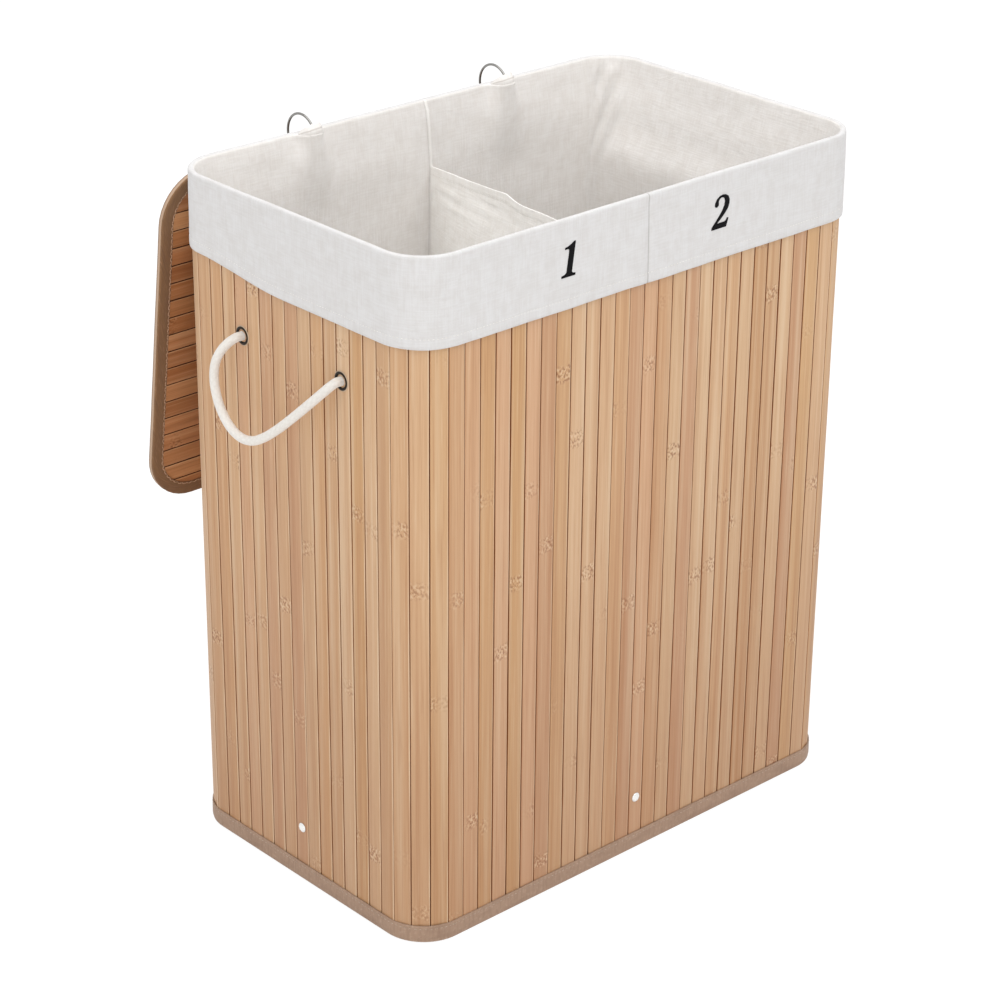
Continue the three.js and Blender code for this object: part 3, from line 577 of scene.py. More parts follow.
def stitches(name, spots, finish, body="root", size=(1.5, 0.42, 0.42)):
    """A row of thread stitches. Each spot is a place in metres, the way along and the way out."""
    shape = bmesh.new()
    for at, along, out in spots:
        made = bmesh.ops.create_icosphere(shape, subdivisions=1, radius=0.001)["verts"]
        side = out.cross(along).normalized()
        turn = Matrix((along, side, out)).transposed().to_4x4()
        tilt = Matrix.Rotation(dice.uniform(-0.08, 0.08), 4, "Z")
        scale = Matrix.Diagonal((size[0] * dice.uniform(0.9, 1.1), size[1], size[2], 1))
        bmesh.ops.transform(shape, matrix=Matrix.Translation(at) @ turn @ tilt @ scale, verts=made)
    piece(name, shape, finish, body)


# The outline of the body


def slat_starts():
    """Where each slat of the wall starts, and its heading, anticlockwise from the front left."""
    bend = math.radians(90 / (CORNER_SLATS + 1))
    at = Vector((-FRONT_SLATS * PITCH / 2, -HALF_DEPTH))
    heading, starts = 0.0, []
    for run in (FRONT_SLATS, SIDE_SLATS, FRONT_SLATS, SIDE_SLATS):
        for i in range(run + CORNER_SLATS):
            if i >= run:
                heading += bend
            starts.append((at.copy(), heading))
            at += Vector((math.cos(heading), math.sin(heading))) * PITCH
        heading += bend
    return starts


STARTS = slat_starts()


def spread(half, fixed, step=8.0):
    """Places from -half to half, about step apart, with the fixed ones instead of those beside them."""
    count = round(2 * half / step)
    inner = [-half + 2 * half * i / count for i in range(1, count)]
    kept = [p for p in inner if all(abs(p - x) >= 3.0 for x in fixed)]
    return sorted({-half, half, *kept, *fixed})


def outline():
    """Points round the body's outer face with their way out and the distance run.
    The straight walls have points at the seams and at the slits for the rings."""
    at_front = [FRONT_SEAM + x for x in (-1.2, 0, 1.2)]
    at_back = [-ring - x for ring in RING_XS for x in RING_COLUMNS]
    at_back += [-BACK_SEAM - x for x in (-15.5, -14, -3.4, -2.2, -1.2, 0.6, 1.8, 3.2)]
    wide, deep = HALF_WIDTH - CORNER_RADIUS, HALF_DEPTH - CORNER_RADIUS
    points = []
    for out, half, away, fixed in (
        ((0, -1), wide, deep, at_front), ((1, 0), deep, wide, []),
        ((0, 1), wide, deep, at_back), ((-1, 0), deep, wide, []),
    ):
        out = Vector(out)
        along = Vector((-out.y, out.x))
        points += [(out * (away + CORNER_RADIUS) + along * x, out) for x in spread(half, fixed)]
        for i in range(1, 18):
            turn = math.radians(5 * i)
            n = out * math.cos(turn) + along * math.sin(turn)
            points.append((out * away + along * half + n * CORNER_RADIUS, n))
    run, placed = 0.0, []
    for i, (p, n) in enumerate(points):
        if i:
            run += (p - points[i - 1][0]).length
        placed.append((p, n, run))
    return placed


OUTLINE = outline()
LAST_STEP = 8  # from the outline's last point on to its first


def loop_row(offset, height):
    """One row round the body. offset and height are numbers or functions of the point."""
    row = []
    for p, n, run in OUTLINE:
        ends, sides = offset(p, n, run) if callable(offset) else (offset, offset)
        z = height(p, n, run) if callable(height) else height
        row.append(place(p.x + n.x * ends, p.y + n.y * sides, z))
    return row


def loop_flat(rows):
    """The flat map of rows round the body: the distance run, and the height up the cloth."""
    up, maps = 0.0, []
    for r, row in enumerate(rows):
        if r:
            up += (row[5] - rows[r - 1][5]).length
        maps.append([(run / 1000, up) for _, _, run in OUTLINE])
    return maps


def loop_spots(offset, height, pitch):
    """Stitch places round the body, pitch millimetres apart."""
    spots, due = [], 0.0
    closed = [*OUTLINE, (OUTLINE[0][0], OUTLINE[0][1], OUTLINE[-1][2] + LAST_STEP)]
    for (p, n, run), (q, m, next_run) in zip(closed, closed[1:]):
        while due < next_run:
            t = (due - run) / max(1e-6, next_run - run)
            at, out = p.lerp(q, t), n.lerp(m, t).normalized()
            d = offset(at, out, due) if callable(offset) else offset
            z = height(at, out, due) if callable(height) else height
            spot = place(at.x + out.x * d, at.y + out.y * d, z)
            spots.append((spot, Vector((-out.y, out.x, 0)), Vector((out.x, out.y, 0))))
            due += pitch
    return spots


# Ropes, knots and eyelets

EYELET_PROFILE = [  # (radius, height out of the wall's outer face)
    (5.6, -4.0), (5.6, 0.4), (5.9, 0.95), (6.5, 1.25), (7.2, 1.2), (7.9, 0.95), (8.5, 0.6), (8.9, 0.3),
    (8.75, 0.2), (6.3, 0.2), (6.25, -3.22), (8.7, -3.22), (8.9, -3.3), (8.7, -3.8), (8.0, -4.25),
    (6.7, -4.45), (5.9, -4.3),
]
EYELET_RIM = [0, 0, 0, 0, 0, 0.4, 1, 1, 1, 0, 0, 0, 0, 0, 0, 0, 0]


def make_eyelet(name, out, at):
    """A turned eyelet in a wall, its flange on the outer face."""
    shape = turned(EYELET_PROFILE, 36, EYELET_RIM)
    piece(name + "_turned", aimed(shape, out, at), eyelet_finish, "root", [name])


ROPE_RADIUS = 0.004  # metres
KNOT_RADIUS, TAIL_RADIUS = 0.0034, 0.0036  # a knot pulls the rope thinner
ROUTE = [  # the loop's route: out from the wall, towards the back, up from the eyelets
    (2.8, 65, 0), (6.5, 65, 0), (12.5, 67, -3), (18.5, 71, -10.5), (22.5, 74, -21), (24.5, 74, -34),
    (26, 69.5, -48), (27, 61, -61), (27.5, 49, -71), (27.5, 35, -75.5), (27, 20, -73.5),
    (26, 5, -65.5), (24.5, -11, -53.5), (22, -28, -38.5), (18.5, -43, -24), (14, -55, -11.5),
    (9.5, -62.5, -3), (6, -65, 0), (2.8, -65, 0),
]


def make_handle(name, side):
    """A rope through two eyelets with a knot behind each. side is -1 on the left."""
    def at(away, back, rise):
        return place(side * (HALF_WIDTH + away), back, EYELET_HEIGHT + rise)

    through = [(-6.5, 65, -0.6), (-4, 65, -0.3)]
    inner = [(-4, -65, -0.3), (-6.5, -65, -0.6)]
    line = rounded_path([at(*p) for p in [*through, *ROUTE, *inner]], 6)
    rope = piece(
        f"rope_{name}", tube(line, ROPE_RADIUS, 20), rope_finish, None, [f"rope_handle_{name}"],
    )
    for end, along in (("front", -EYELET_ALONG), ("back", EYELET_ALONG)):
        loop = []
        for i in range(97):
            t = math.tau * i / 96
            bulge = 3.6 + 1.5 * math.cos(3 * t)
            loop.append(
                at(
                    -14.2 + 4.6 * math.sin(3 * t) * 0.62,
                    along + bulge * math.cos(2 * t) * 1.15,
                    bulge * math.sin(2 * t) * 1.1 - 0.4,
                )
            )
        knot = tube(loop, KNOT_RADIUS, 12)
        tail = [at(-13, along + 2, -4), at(-18, along + 1.5, -7), at(-23, along + 1, -8.5)]
        joined(knot, tube(tail, TAIL_RADIUS, 12))
        piece(f"knot_{name}_{end}", knot, rope_finish, "root", [f"rope_end_{name}_{end}"])
        make_eyelet(f"handle_eyelet_{name}_{end}", Vector((side, 0, 0)), at(0, along, 0))
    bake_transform(rope)


make_handle("left", -1)
make_handle("right", 1)

# Slats of the walls


def slat_shape(length, width, thickness, rows, jitter, seed, index, round_edge=0.55):
    """One slat lying on XY, its length along Y from 0, its upper face at Z 0, slightly uneven."""
    shape = bmesh.new()
    made = bmesh.ops.create_cube(shape, size=1)
    size = Matrix.Diagonal((width, length, thickness, 1))
    bmesh.ops.transform(
        shape, matrix=Matrix.Translation((0, length / 2, -thickness / 2)) @ size, verts=made["verts"]
    )
    edges = [
        e for e in shape.edges
        if all(v.co.z > -0.01 for v in e.verts) and abs(e.verts[0].co.x - e.verts[1].co.x) < 0.01
    ]
    bmesh.ops.bevel(
        shape, geom=edges, offset=round_edge, segments=3, profile=0.5, affect="EDGES", material=-1
    )
    for i in range(1, rows):
        bmesh.ops.bisect_plane(
            shape, geom=[*shape.verts, *shape.edges, *shape.faces],
            plane_co=(0, length * i / rows, 0), plane_no=(0, 1, 0),
        )
    tint, tone, across, depth = (
        shape.verts.layers.float.new(kind) for kind in ("tint", "tone", "across", "depth")
    )
    layer = shape.loops.layers.uv.new("flat")
    one, two = dice.random(), dice.random()
    for face in shape.faces:
        for loop in face.loops:
            co = loop.vert.co
            loop[layer].uv = ((co.x + index * 40) / 1000, co.y / 1000)
    widen = dice.uniform(-jitter, jitter)
    for vert in shape.verts:
        vert[tint], vert[tone] = one, two
        vert[across] = vert.co.x * 2 / width
        vert[depth] = -vert.co.z / thickness
        side = 1 if vert.co.x > 0 else -1
        vert.co.x += side * (widen / 2 + 0.18 * rough(side * 9, vert.co.y, 0, 70, seed))
        vert.co.x += 0.17 * rough(0, vert.co.y, 4, 130, seed)
        vert.co.z += 0.12 * rough(3, vert.co.y, 0, 150, seed)
    return shape


def add_shape(whole, part, matrix):
    """Adds a part to a larger bmesh, in millimetres, at its place."""
    bmesh.ops.transform(part, matrix=matrix, verts=part.verts)
    for vert in part.verts:
        vert.co /= 1000
    joined(whole, part)


def make_walls():
    """The slats of each wall and corner, and the cloth that they are glued to."""
    first = 0
    for name, count in (
        ("front", FRONT_SLATS), ("corner_front_right", CORNER_SLATS),
        ("right", SIDE_SLATS), ("corner_back_right", CORNER_SLATS),
        ("back", FRONT_SLATS), ("corner_back_left", CORNER_SLATS),
        ("left", SIDE_SLATS), ("corner_front_left", CORNER_SLATS),
    ):
        whole = bmesh.new()
        for i in range(first, first + count):
            at, heading = STARTS[i]
            run = Vector((math.cos(heading), math.sin(heading), 0))
            out = Vector((run.y, -run.x, 0))
            middle = Vector((at.x, at.y, 0)) + run * (PITCH / 2) + out * dice.uniform(-0.16, 0.1)
            slat = slat_shape(MAT_TOP - MAT_BOTTOM, PITCH - SLAT_GAP, SLAT_THICKNESS, 14, 0.5, i + 1, i)
            lean = Matrix.Rotation(dice.uniform(-0.014, 0.014), 4, "Y")
            axes = Matrix((run, Vector((0, 0, 1)), out)).transposed().to_4x4()
            shift = Matrix.Translation((middle.x, middle.y + MIDDLE_Y, MAT_BOTTOM))
            add_shape(whole, slat, shift @ axes @ lean)
        first += count
        piece("slats_" + name, whole, slat_finish, "root", ["mat_" + name], 1.2)
    rows = [loop_row(-2.9, z) for z in (MAT_BOTTOM, *range(60, 600, 60), MAT_TOP)]
    sheet(
        "mat_backing_cloth", grid(rows, loop_flat(rows), closed=True), gap_shade_backing, 0.5,
        sharp=0.7,
    )


make_walls()


def tape_height(d, z):
    """Height of a row of the tape, which wanders a little where it doesn't stand on the floor."""
    def height(p, n, run):
        return z + (0.25 * rough(run, 0, d, 45, 3) if z > 5 else 0)
    return height


def make_tape(name, rows_at, replaced, thick, stitch_at=None):
    """Tape folded over an edge of the mat. Where it shows, stitches run through both its legs."""
    rows = [loop_row(d, tape_height(d, z)) for d, z in rows_at]
    flat = loop_flat(rows)
    sheet(
        name, grid(rows, flat, closed=True), tape_finish, thick,
        replaces=[replaced], sharp=0.7,
    )
    if stitch_at:
        for leg, d in (("outer", rows_at[0][0] + 0.5), ("inner", rows_at[-1][0] - 0.5)):
            stitches(f"{name}_stitches_{leg}", loop_spots(d, stitch_at, 4.4), tape_thread)


make_tape(
    "bottom_tape",
    [(0.62, 16.8), (0.75, 15.2), (0.8, 12.5), (0.95, 8), (0.95, 3.2), (0.6, 1.1), (-0.6, 0.5), (-2.6, 0.5),
     (-3.7, 1.1), (-3.95, 3.2), (-3.95, 8), (-3.9, 12.5), (-3.8, 16.8)],
    "bottom_binding", 0.9, stitch_at=13.6,
)
make_tape(
    "top_tape",
    [(0.3, 618.6), (0.35, 622), (0.35, 626), (0.1, 627.2), (-0.8, 627.9), (-2.4, 627.9), (-3.2, 627.2),
     (-3.5, 626), (-3.5, 622), (-3.5, 618.6)],
    "top_binding", 0.5,
)


# Cotton liner

BAG_INSET = 5.4  # how far in from the walls' outer face the bag is at the rim
FRONT_SLACK, END_SLACK = 5.2, 22.2  # how much further in it hangs lower down
BAG_DEPTH = HALF_DEPTH - BAG_INSET - FRONT_SLACK  # from the middle, as the next one
BAG_WIDTH = HALF_WIDTH - BAG_INSET - END_SLACK
BULGE_Y = 142.6  # how far back the bag may reach at a ring
RING_REACH = 18  # how far beside a ring its cloth is pushed in


def bag_offset(z):
    """How far in from the body's outer face the bag hangs at a height: at the ends, and at the
    front and back."""
    share = z / BODY_TOP
    ends = 1 - 0.5 * smooth(0.85, 0.915, share) - 0.5 * smooth(0.9, 0.995, share)
    sides = 1 - 0.5 * smooth(0.915, 0.968, share) - 0.5 * smooth(0.95, 0.998, share)
    return -BAG_INSET - END_SLACK * ends, -BAG_INSET - FRONT_SLACK * sides


def ring_share(x, reach):
    """1 beside a ring, 0 further from it than the reach."""
    return max(1 - smooth(5, reach, abs(x - ring)) for ring in RING_XS)


def seam_height(x):
    """How far the flat-felled seam at the back stands off the bag."""
    inside = smooth(BACK_SEAM - 15.2, BACK_SEAM - 14.2, x) * (1 - smooth(BACK_SEAM, BACK_SEAM + 2, x))
    ridge = smooth(BACK_SEAM - 2.2, BACK_SEAM - 1.2, x) * (1 - smooth(BACK_SEAM + 0.6, BACK_SEAM + 1.8, x))
    return 0.5 * inside + 1.5 * ridge


HEM = [(1.2, 562.2), (1.2, 557), (1.3, 553.6), (1.6, 552.3), (2.1, 552.5), (2.35, 554.4)]
SKIRT = [  # (distance out from the wall, height)
    (2.4, 557), (2.35, 559.6), (2.1, 560.8), (2.05, 561.6), (2.25, 563.2), (2.15, 567), (2.05, 573),
    (2.0, 580), (1.9, 588), (1.8, 596), (1.7, 604), (1.6, 611), (1.45, 617), (1.35, 622),
]
FOLD = [
    (1.33, 625.5), (1.28, 627.4), (0.95, 628.7), (0.2, 629.4), (-1.2, 629.6), (-2.6, 629.3), (-3.6, 628.5),
    (-4.1, 627.2), (-4.3, 625.6),
]
RIM_TOP = 629.4
LINER_THICKNESS = 0.6
HEM_PITCH = 3.4  # of the stitches in the skirt's hem
CORNER_RISE = 9  # of the hem towards the back left corner


def skirt_out(z):
    """How far out the middle of the skirt's cloth hangs at a height."""
    for (d, low), (e, high) in zip(SKIRT, SKIRT[1:]):
        if z <= high:
            return d + (e - d) * max(0, z - low) / (high - low)
    return SKIRT[-1][0]


def skirt_offset(d, z):
    """How far out a row of the skirt is: it waves softly, and less near the rim."""
    def offset(p, n, run):
        wave = 0.45 * rough(run, 0, z, 90, 1) * smooth(628, 600, z)
        wave += 0.22 * rough(run, 0, z, 28, 2) * smooth(628, 590, z)
        if n.y < -0.9:  # the seam at the front draws the cloth in a little
            wave -= 0.6 * math.exp(-(((p.x - FRONT_SEAM) / 1.0) ** 2))
            wave += 0.25 * math.exp(-(((abs(p.x - FRONT_SEAM) - 5) / 4.0) ** 2))
        return d + wave, d + wave
    return offset


def hem_height(z):
    """The hem wanders a little, and rises towards the back left corner."""
    def height(p, n, run):
        rise = CORNER_RISE * smooth(-150, -235, p.x) * smooth(10, 120, p.y) * smooth(600, 566, z)
        return z + rise + 0.5 * rough(run, 0, 0, 70, 4) + 0.25 * rough(run, 0, 0, 22, 5)
    return height


def fold_row(d, z):
    """A row of the fold over the rim. Beside a ring it is pressed down flat."""
    def offset(p, n, run):
        near = ring_share(p.x, RING_REACH) if n.y > 0.9 else 0
        pushed = 0.0
        if d < -2.7 and near:
            pushed = max(0, HALF_DEPTH + d - BULGE_Y) * near
        wave = 0.3 * rough(run, 0, z, 60, 6)
        return d + wave, d + wave - pushed
    def height(p, n, run):
        near = ring_share(p.x, RING_REACH) if n.y > 0.9 else 0
        top = z + 0.35 * rough(run, 9, 0, 55, 7)
        return min(top, 628.9) if near > 0.3 else top

    return loop_row(offset, height)


def bag_row(z):
    """A row of the bags: wrinkled, with folds at the corners and pushed in beside the rings."""
    ends, sides = bag_offset(z)

    def offset(p, n, run):
        calm = smooth(628, 600, z)
        wave = (1.5 * rough(run, z, 0, 75, 8) + 0.8 * rough(run, z, 0, 33, 9)) * calm
        # Long soft folds fall from the rim at the corners
        corner = smooth(0.15, 0.6, min(abs(n.x), abs(n.y)))
        wave += corner * 2.0 * math.sin(run / 9.5) * smooth(628, 560, z) * smooth(250, 480, z)
        if n.x > 0.02 and n.y > 0.02:  # two deeper ones at the far corner
            slant = (run + 0.4 * (z - 620)) / 3.6
            wave += corner * 4.5 * math.sin(slant) * smooth(627, 612, z) * smooth(500, 600, z)
        pushed = 0.0
        if n.y > 0.9:
            near = ring_share(p.x, RING_REACH + 10 * smooth(622, 604, z)) * smooth(545, 600, z)
            pushed = max(0, HALF_DEPTH + sides - BULGE_Y) * near
            wave = wave * (1 - near) - seam_height(p.x)
        return ends - abs(wave) * 0.4 + wave * 0.6, sides - pushed + wave * (0.7 if n.y < 0.9 else 1)
    return loop_row(offset, z)


def seam_shading(x, out, within):
    """Painted shade at the foot of a seam, and a painted highlight on its raised edge. out is the wall's way
    along Y.
    """
    if within and out > 0.9:
        return {-2.2: 0.4, -1.2: -1.0, 0.6: -1.0}.get(round(x - BACK_SEAM, 1), 0.0)
    return 0.6 if not within and out < -0.9 and abs(x - FRONT_SEAM) < 0.1 else 0.0


def make_liner():
    """Both bags and the skirt, one cloth from the hem over the rim down to the floor."""
    rows = [loop_row(skirt_offset(d, z), hem_height(z)) for d, z in HEM]
    rows += [loop_row(skirt_offset(d, z), hem_height(z) if z < 600 else z) for d, z in SKIRT]
    rows += [fold_row(d, z) for d, z in FOLD]
    outside = len(rows) - 3
    z = 620.5
    while z > FLOOR_Z + 6:
        rows.append(bag_row(z))
        z -= 8 if z > 540 else 13
    rows.append(bag_row(FLOOR_Z + 0.8))
    slit = set()
    for ring in RING_XS:
        columns = [
            c for c, ((p, n, _), (q, m, _)) in enumerate(zip(OUTLINE, OUTLINE[1:]))
            if n.y > 0.9 and m.y > 0.9 and abs((p.x + q.x) / 2 - ring) < 1
        ]
        slit |= {(r, c) for r in range(outside) for c in columns}
    flat = loop_flat(rows)
    # Painted on the points: shade at the foot of the seams, a highlight on the back seam's raised edge, and
    # the cloth from the fold's inner side down into the bins in a lighter colour as painted light
    marks = {
        "painted_crease_shading": [[seam_shading(p.x, n.y, r >= outside) for p, n, _ in OUTLINE] for r in range(len(rows))],
        "inside": [[float(r >= outside)] * len(OUTLINE) for r in range(len(rows))],
    }
    sheet(
        "liner_cloth", grid(rows, flat, closed=True, holes=slit, marks=marks), skirt_finish,
        LINER_THICKNESS,
        replaces=["liner_bag_left", "liner_bag_right", "liner_skirt_left", "liner_skirt_right",
                  "liner_skirt_back"],
    )
    hem = skirt_offset(2.05, 561)
    spots = loop_spots(lambda *point: hem(*point)[0] + LINER_THICKNESS / 2, hem_height(561.2), HEM_PITCH)
    at_slit = [s[2].y > 0.9 and any(abs(s[0].x * 1000 - x) < HEM_PITCH for x in RING_XS) for s in spots]
    spots = [spot for spot, off in zip(spots, at_slit) if not off]
    stitches("hem_stitches", spots, white_thread, size=(1.15, 0.24, 0.2))


make_liner()


def seam_line(y):
    """The divider's X at a place along Y: it runs askew from the front seam to the back seam."""
    return FRONT_SEAM + (BACK_SEAM - FRONT_SEAM) * (y + HALF_DEPTH) / (2 * HALF_DEPTH)


def divider_edge(share):
    """Height of the divider's edge, from 54 mm under the rim at the front seam (share 0) to 60 at
    the back seam (share 1). It is bowed up, and drops at a kink towards the front."""
    top = RIM_TOP - (54 + 6 * share) + 3.6 * min(share / 0.42, (1 - share) / 0.58) ** 0.8
    top += 1.2 * math.exp(-(((share - 0.61) / 0.05) ** 2))
    return top - 4.8 * (1 - math.exp(-max(0.0, 0.605 - share) / 0.035))


def make_divider():
    """The cloth between the bins, gathered under its hemmed edge and slack below that."""
    columns = 64
    drops = [
        0.0, 0.6, 1.6, 3.2, 5.0, 6.4, 7.4, 8.6, 10, 12, 14, 16, 18, 20, 22, 24, 27, 30, 34, 38, 43, 50,
        60, 72, 86, 105, 135, 170, 210, 255, 300, 345, 390, 435, 480, 526,
    ]
    hem = 6  # the row of the drops at which the edge is stitched
    rows, flat = [], []
    for drop in drops:
        row, maps = [], []
        for c in range(columns + 1):
            share = c / columns
            z = max(FLOOR_Z + 0.8, divider_edge(share) - drop)
            y = -BAG_DEPTH + 2 * BAG_DEPTH * share
            free = smooth(0, 0.08, share) * smooth(1, 0.92, share) * smooth(50, 110, z)
            gather = smooth(0.3, 0.9, share) * smooth(8, 14, drop) * smooth(50, 26, drop)
            slack = smooth(0, 95, drop) * smooth(260, 120, drop)
            slack *= smooth(0, 0.3, share) * smooth(1, 0.75, share)
            side = 2.2 * rough(y, z, 0, 95, 11) + 1.1 * rough(y, z, 0, 40, 12) + 14 * slack
            side += gather * 0.7 * math.sin(drop / 1.9 + y / 26) * (0.6 + rough(y, drop, 0, 30, 14))
            side += 0.3 if drop < 7 else 0
            z_wave = 0.8 * rough(y, 0, 0, 60, 13) * math.exp(-drop / 50) * free
            row.append(place(seam_line(y) - side * free, y, z + z_wave))
            maps.append((y / 1000, z / 1000))
        rows.append(row)
        flat.append(maps)
    sheet(
        "liner_divider_cloth", grid(rows, flat), divider_finish, 1.0,
        replaces=["liner_divider"],
    )
    spots = []
    for a, b in zip(rows[hem], rows[hem][1:]):
        along = (b - a).normalized()
        out = Vector((-along.y, along.x, 0)).normalized()
        for sign in (1, -1):
            spots.append((a.lerp(b, 0.5) + out * sign * 0.0006, along, out * sign))
    stitches("divider_edge_stitches", spots, white_thread, size=(1.2, 0.26, 0.22))


make_divider()


# The bag's round corners on the floor, along X and Y
ROUND_X, ROUND_Y = CORNER_RADIUS - BAG_INSET - END_SLACK, CORNER_RADIUS - BAG_INSET - FRONT_SLACK
FLOOR_GAP = 0.6  # between the floor's edge and the middle of the bag's cloth
DIVIDER_GAP = 0.9  # between the floor's edge and the middle of the divider


def make_floors():
    """The floor of each bag: cloth laid on the base board, cut from one sheet of points."""
    half = BAG_DEPTH - FLOOR_GAP
    for name, sign in (("left", -1), ("right", 1)):
        rows, flat = [], []
        for r in range(25):
            y = -half + 2 * half * (r / 24)
            corner = max(0.0, abs(y) - half + ROUND_Y) / ROUND_Y
            end = BAG_WIDTH - FLOOR_GAP - ROUND_X * (1 - math.sqrt(max(0, 1 - corner**2)))
            start = seam_line(y) + sign * DIVIDER_GAP
            row, maps = [], []
            for c in range(25):
                x = start + (sign * end - start) * c / 24
                row.append(place(x, y, FLOOR_Z - 0.5 + 0.5 * rough(x, y, 0, 60, 15)))
                maps.append((x / 1000, y / 1000))
            rows.append(row)
            flat.append(maps)
        sheet(
            f"liner_floor_{name}_cloth", grid(rows, flat), skirt_finish, 0.8,
            replaces=[f"liner_floor_{name}"],
        )


make_floors()


LIP_ROWS = [  # (back from the fold's inner side, height): the lip leans against the ring
    (0.6, 627.2), (0.6, 628.8), (0.65, 630.8), (1.0, 632.6), (1.9, 633.8), (3.2, 635.2), (4.5, 636.7),
    (5.7, 638.0), (6.3, 638.5),
]
LIP_CREASE = 4  # the row at which the lip is creased
LIP_BACK, LIP_FOOT = LIP_ROWS[0]
FOLD_INSIDE = HALF_DEPTH - 4.2  # where the fold over the rim comes down on the inside


def make_lips():
    """Where the fold is slit for a ring, a lip of its cloth stands up against the ring."""
    for name, middle, half in (("left", RING_XS[0], 15.0), ("right", RING_XS[1], 15.5)):
        rows, flat, lip_shading = [], [], []
        for r, (back, z) in enumerate(LIP_ROWS):
            row, maps = [], []
            for c in range(21):
                u = c / 20 * 2 - 1
                rise = (1 - u**4) * (1 - 0.16 * (1 - u)) * (1 + 0.03 * rough(u * 20, 0, 0, 9, 17))
                x = middle + half * u * (1 - 0.06 * r / 8)
                root = FOLD_INSIDE - (FOLD_INSIDE - BULGE_Y) * ring_share(x, RING_REACH)
                y = root + LIP_BACK + (back - LIP_BACK) * rise
                row.append(place(x, y, LIP_FOOT + (z - LIP_FOOT) * rise))
                maps.append((x / 1000, z / 1000))
            rows.append(row)
            flat.append(maps)
            # The crease row is painted with a shadow line, and the whole lip in the bins' lighter colour as
            # painted light
            lip_shading.append([0.6 if r == LIP_CREASE else 0.0] * 21)
        marks = {"painted_crease_shading": lip_shading, "inside": [[1.0] * 21 for _ in rows]}
        lip = sheet(
            f"liner_lip_{name}", grid(rows, flat, marks=marks), skirt_finish, LINER_THICKNESS,
        )
        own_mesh(lip)


make_lips()

# Numerals on the skirt

NUMERAL_SLANT = 0.16
NUMERAL_FOOT = 580.5  # height of their lower ends

# Serif numerals in a square of 29 by 29, drawn as outlines
NUMERALS = {
    "1": [
        (-7.5, 0), (7.5, 0), (7.5, 1.7), (4.6, 2.3), (3.2, 3.6), (3.2, 29), (1.6, 29), (-1.2, 27.2),
        (-4.6, 25.8), (-7.6, 25.2), (-7.6, 23.8), (-4.6, 23.9), (-2.9, 23.2), (-2.6, 21.6), (-2.6, 3.6),
        (-4.2, 2.3), (-7.5, 1.7),
    ],
    "2": [
        (-9.2, 0), (8.4, 0), (9.8, 7.2), (8.2, 7.4), (7.0, 5.2), (5.2, 4.6), (-4.0, 4.6), (0.8, 8.6),
        (4.8, 12.4), (7.6, 16.0), (8.6, 19.8), (8.2, 23.4), (6.2, 26.6), (2.8, 28.5), (-1.0, 29.0),
        (-4.8, 28.2), (-7.6, 26.0), (-9.0, 22.8), (-8.9, 20.6), (-7.6, 19.3), (-5.8, 19.3), (-4.6, 20.6),
        (-4.7, 22.2), (-5.2, 24.0), (-4.4, 25.8), (-2.4, 26.9), (0.0, 26.7), (2.0, 25.2), (3.0, 22.6),
        (2.8, 19.2), (1.2, 15.2), (-2.0, 10.8), (-5.8, 6.2), (-9.2, 2.2),
    ],
}


def make_numeral(name, digit, centre):
    """A raised satin-stitch numeral: a filled outline with rounded edges, laid on the skirt."""
    curve = bpy.data.curves.new(name, "CURVE")
    curve.dimensions = "2D"
    curve.fill_mode = "BOTH"
    curve.extrude = 0.0001
    curve.bevel_depth = 0.00045
    curve.bevel_resolution = 2
    curve.offset = -0.0003
    line = curve.splines.new("POLY")
    line.points.add(len(NUMERALS[digit]) - 1)
    for point, (x, z) in zip(line.points, NUMERALS[digit]):
        point.co = ((x + NUMERAL_SLANT * (z - 14)) / 1000, z / 1000, 0, 1)
    line.use_cyclic_u = True
    drawn = bpy.data.objects.new(name, curve)
    mesh = bpy.data.meshes.new_from_object(drawn)
    bpy.data.objects.remove(drawn)
    shape = bmesh.new()
    shape.from_mesh(mesh)
    bpy.data.meshes.remove(mesh)
    bmesh.ops.remove_doubles(shape, verts=shape.verts, dist=1e-7)
    layer = shape.loops.layers.uv.new("flat")
    for face in shape.faces:
        for loop in face.loops:
            loop[layer].uv = loop.vert.co.xy
    for vert in shape.verts:
        x, z, out = centre + vert.co.x * 1000, NUMERAL_FOOT + vert.co.y * 1000, vert.co.z * 1000
        hangs = skirt_offset(skirt_out(z) + LINER_THICKNESS / 2, z)
        lies = hangs(Vector((x, 0)), Vector((0, -1)), x + HALF_WIDTH - CORNER_RADIUS)[0]
        vert.co = place(x, -HALF_DEPTH - lies - out, z)
    piece(name, shape, black_thread)


make_numeral("numeral_left", "1", -97)
make_numeral("numeral_right", "2", 78)

# Rings, rivets, bars, board


def make_ring(name, x):
    """A ring of wire round the place of its CAD node."""
    low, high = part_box(name)
    shape = bmesh.new()
    wire = Matrix.Translation((RING_RADIUS / 1000, 0, 0)) @ Matrix.Rotation(math.pi / 2, 4, "X")
    made = bmesh.ops.create_circle(shape, segments=14, radius=WIRE_RADIUS / 1000, matrix=wire)
    bmesh.ops.spin(
        shape, geom=made["verts"] + list(shape.edges), cent=(0, 0, 0), axis=(0, 0, 1), angle=math.tau,
        steps=72, use_merge=True,
    )
    bmesh.ops.remove_doubles(shape, verts=shape.verts, dist=1e-6)
    shape = aimed(shape, Vector((1, 0, 0)), (low + high) / 2)
    piece(name + "_wire", shape, ring_finish, "lid_rings", [name])


for side, x in zip(("left", "right"), RING_XS):
    make_ring(f"lid_ring_{side}", x)
    make_eyelet(f"ring_eyelet_{side}", Vector((0, 1, 0)), place(x, HALF_DEPTH, RING_EYELET_Z))

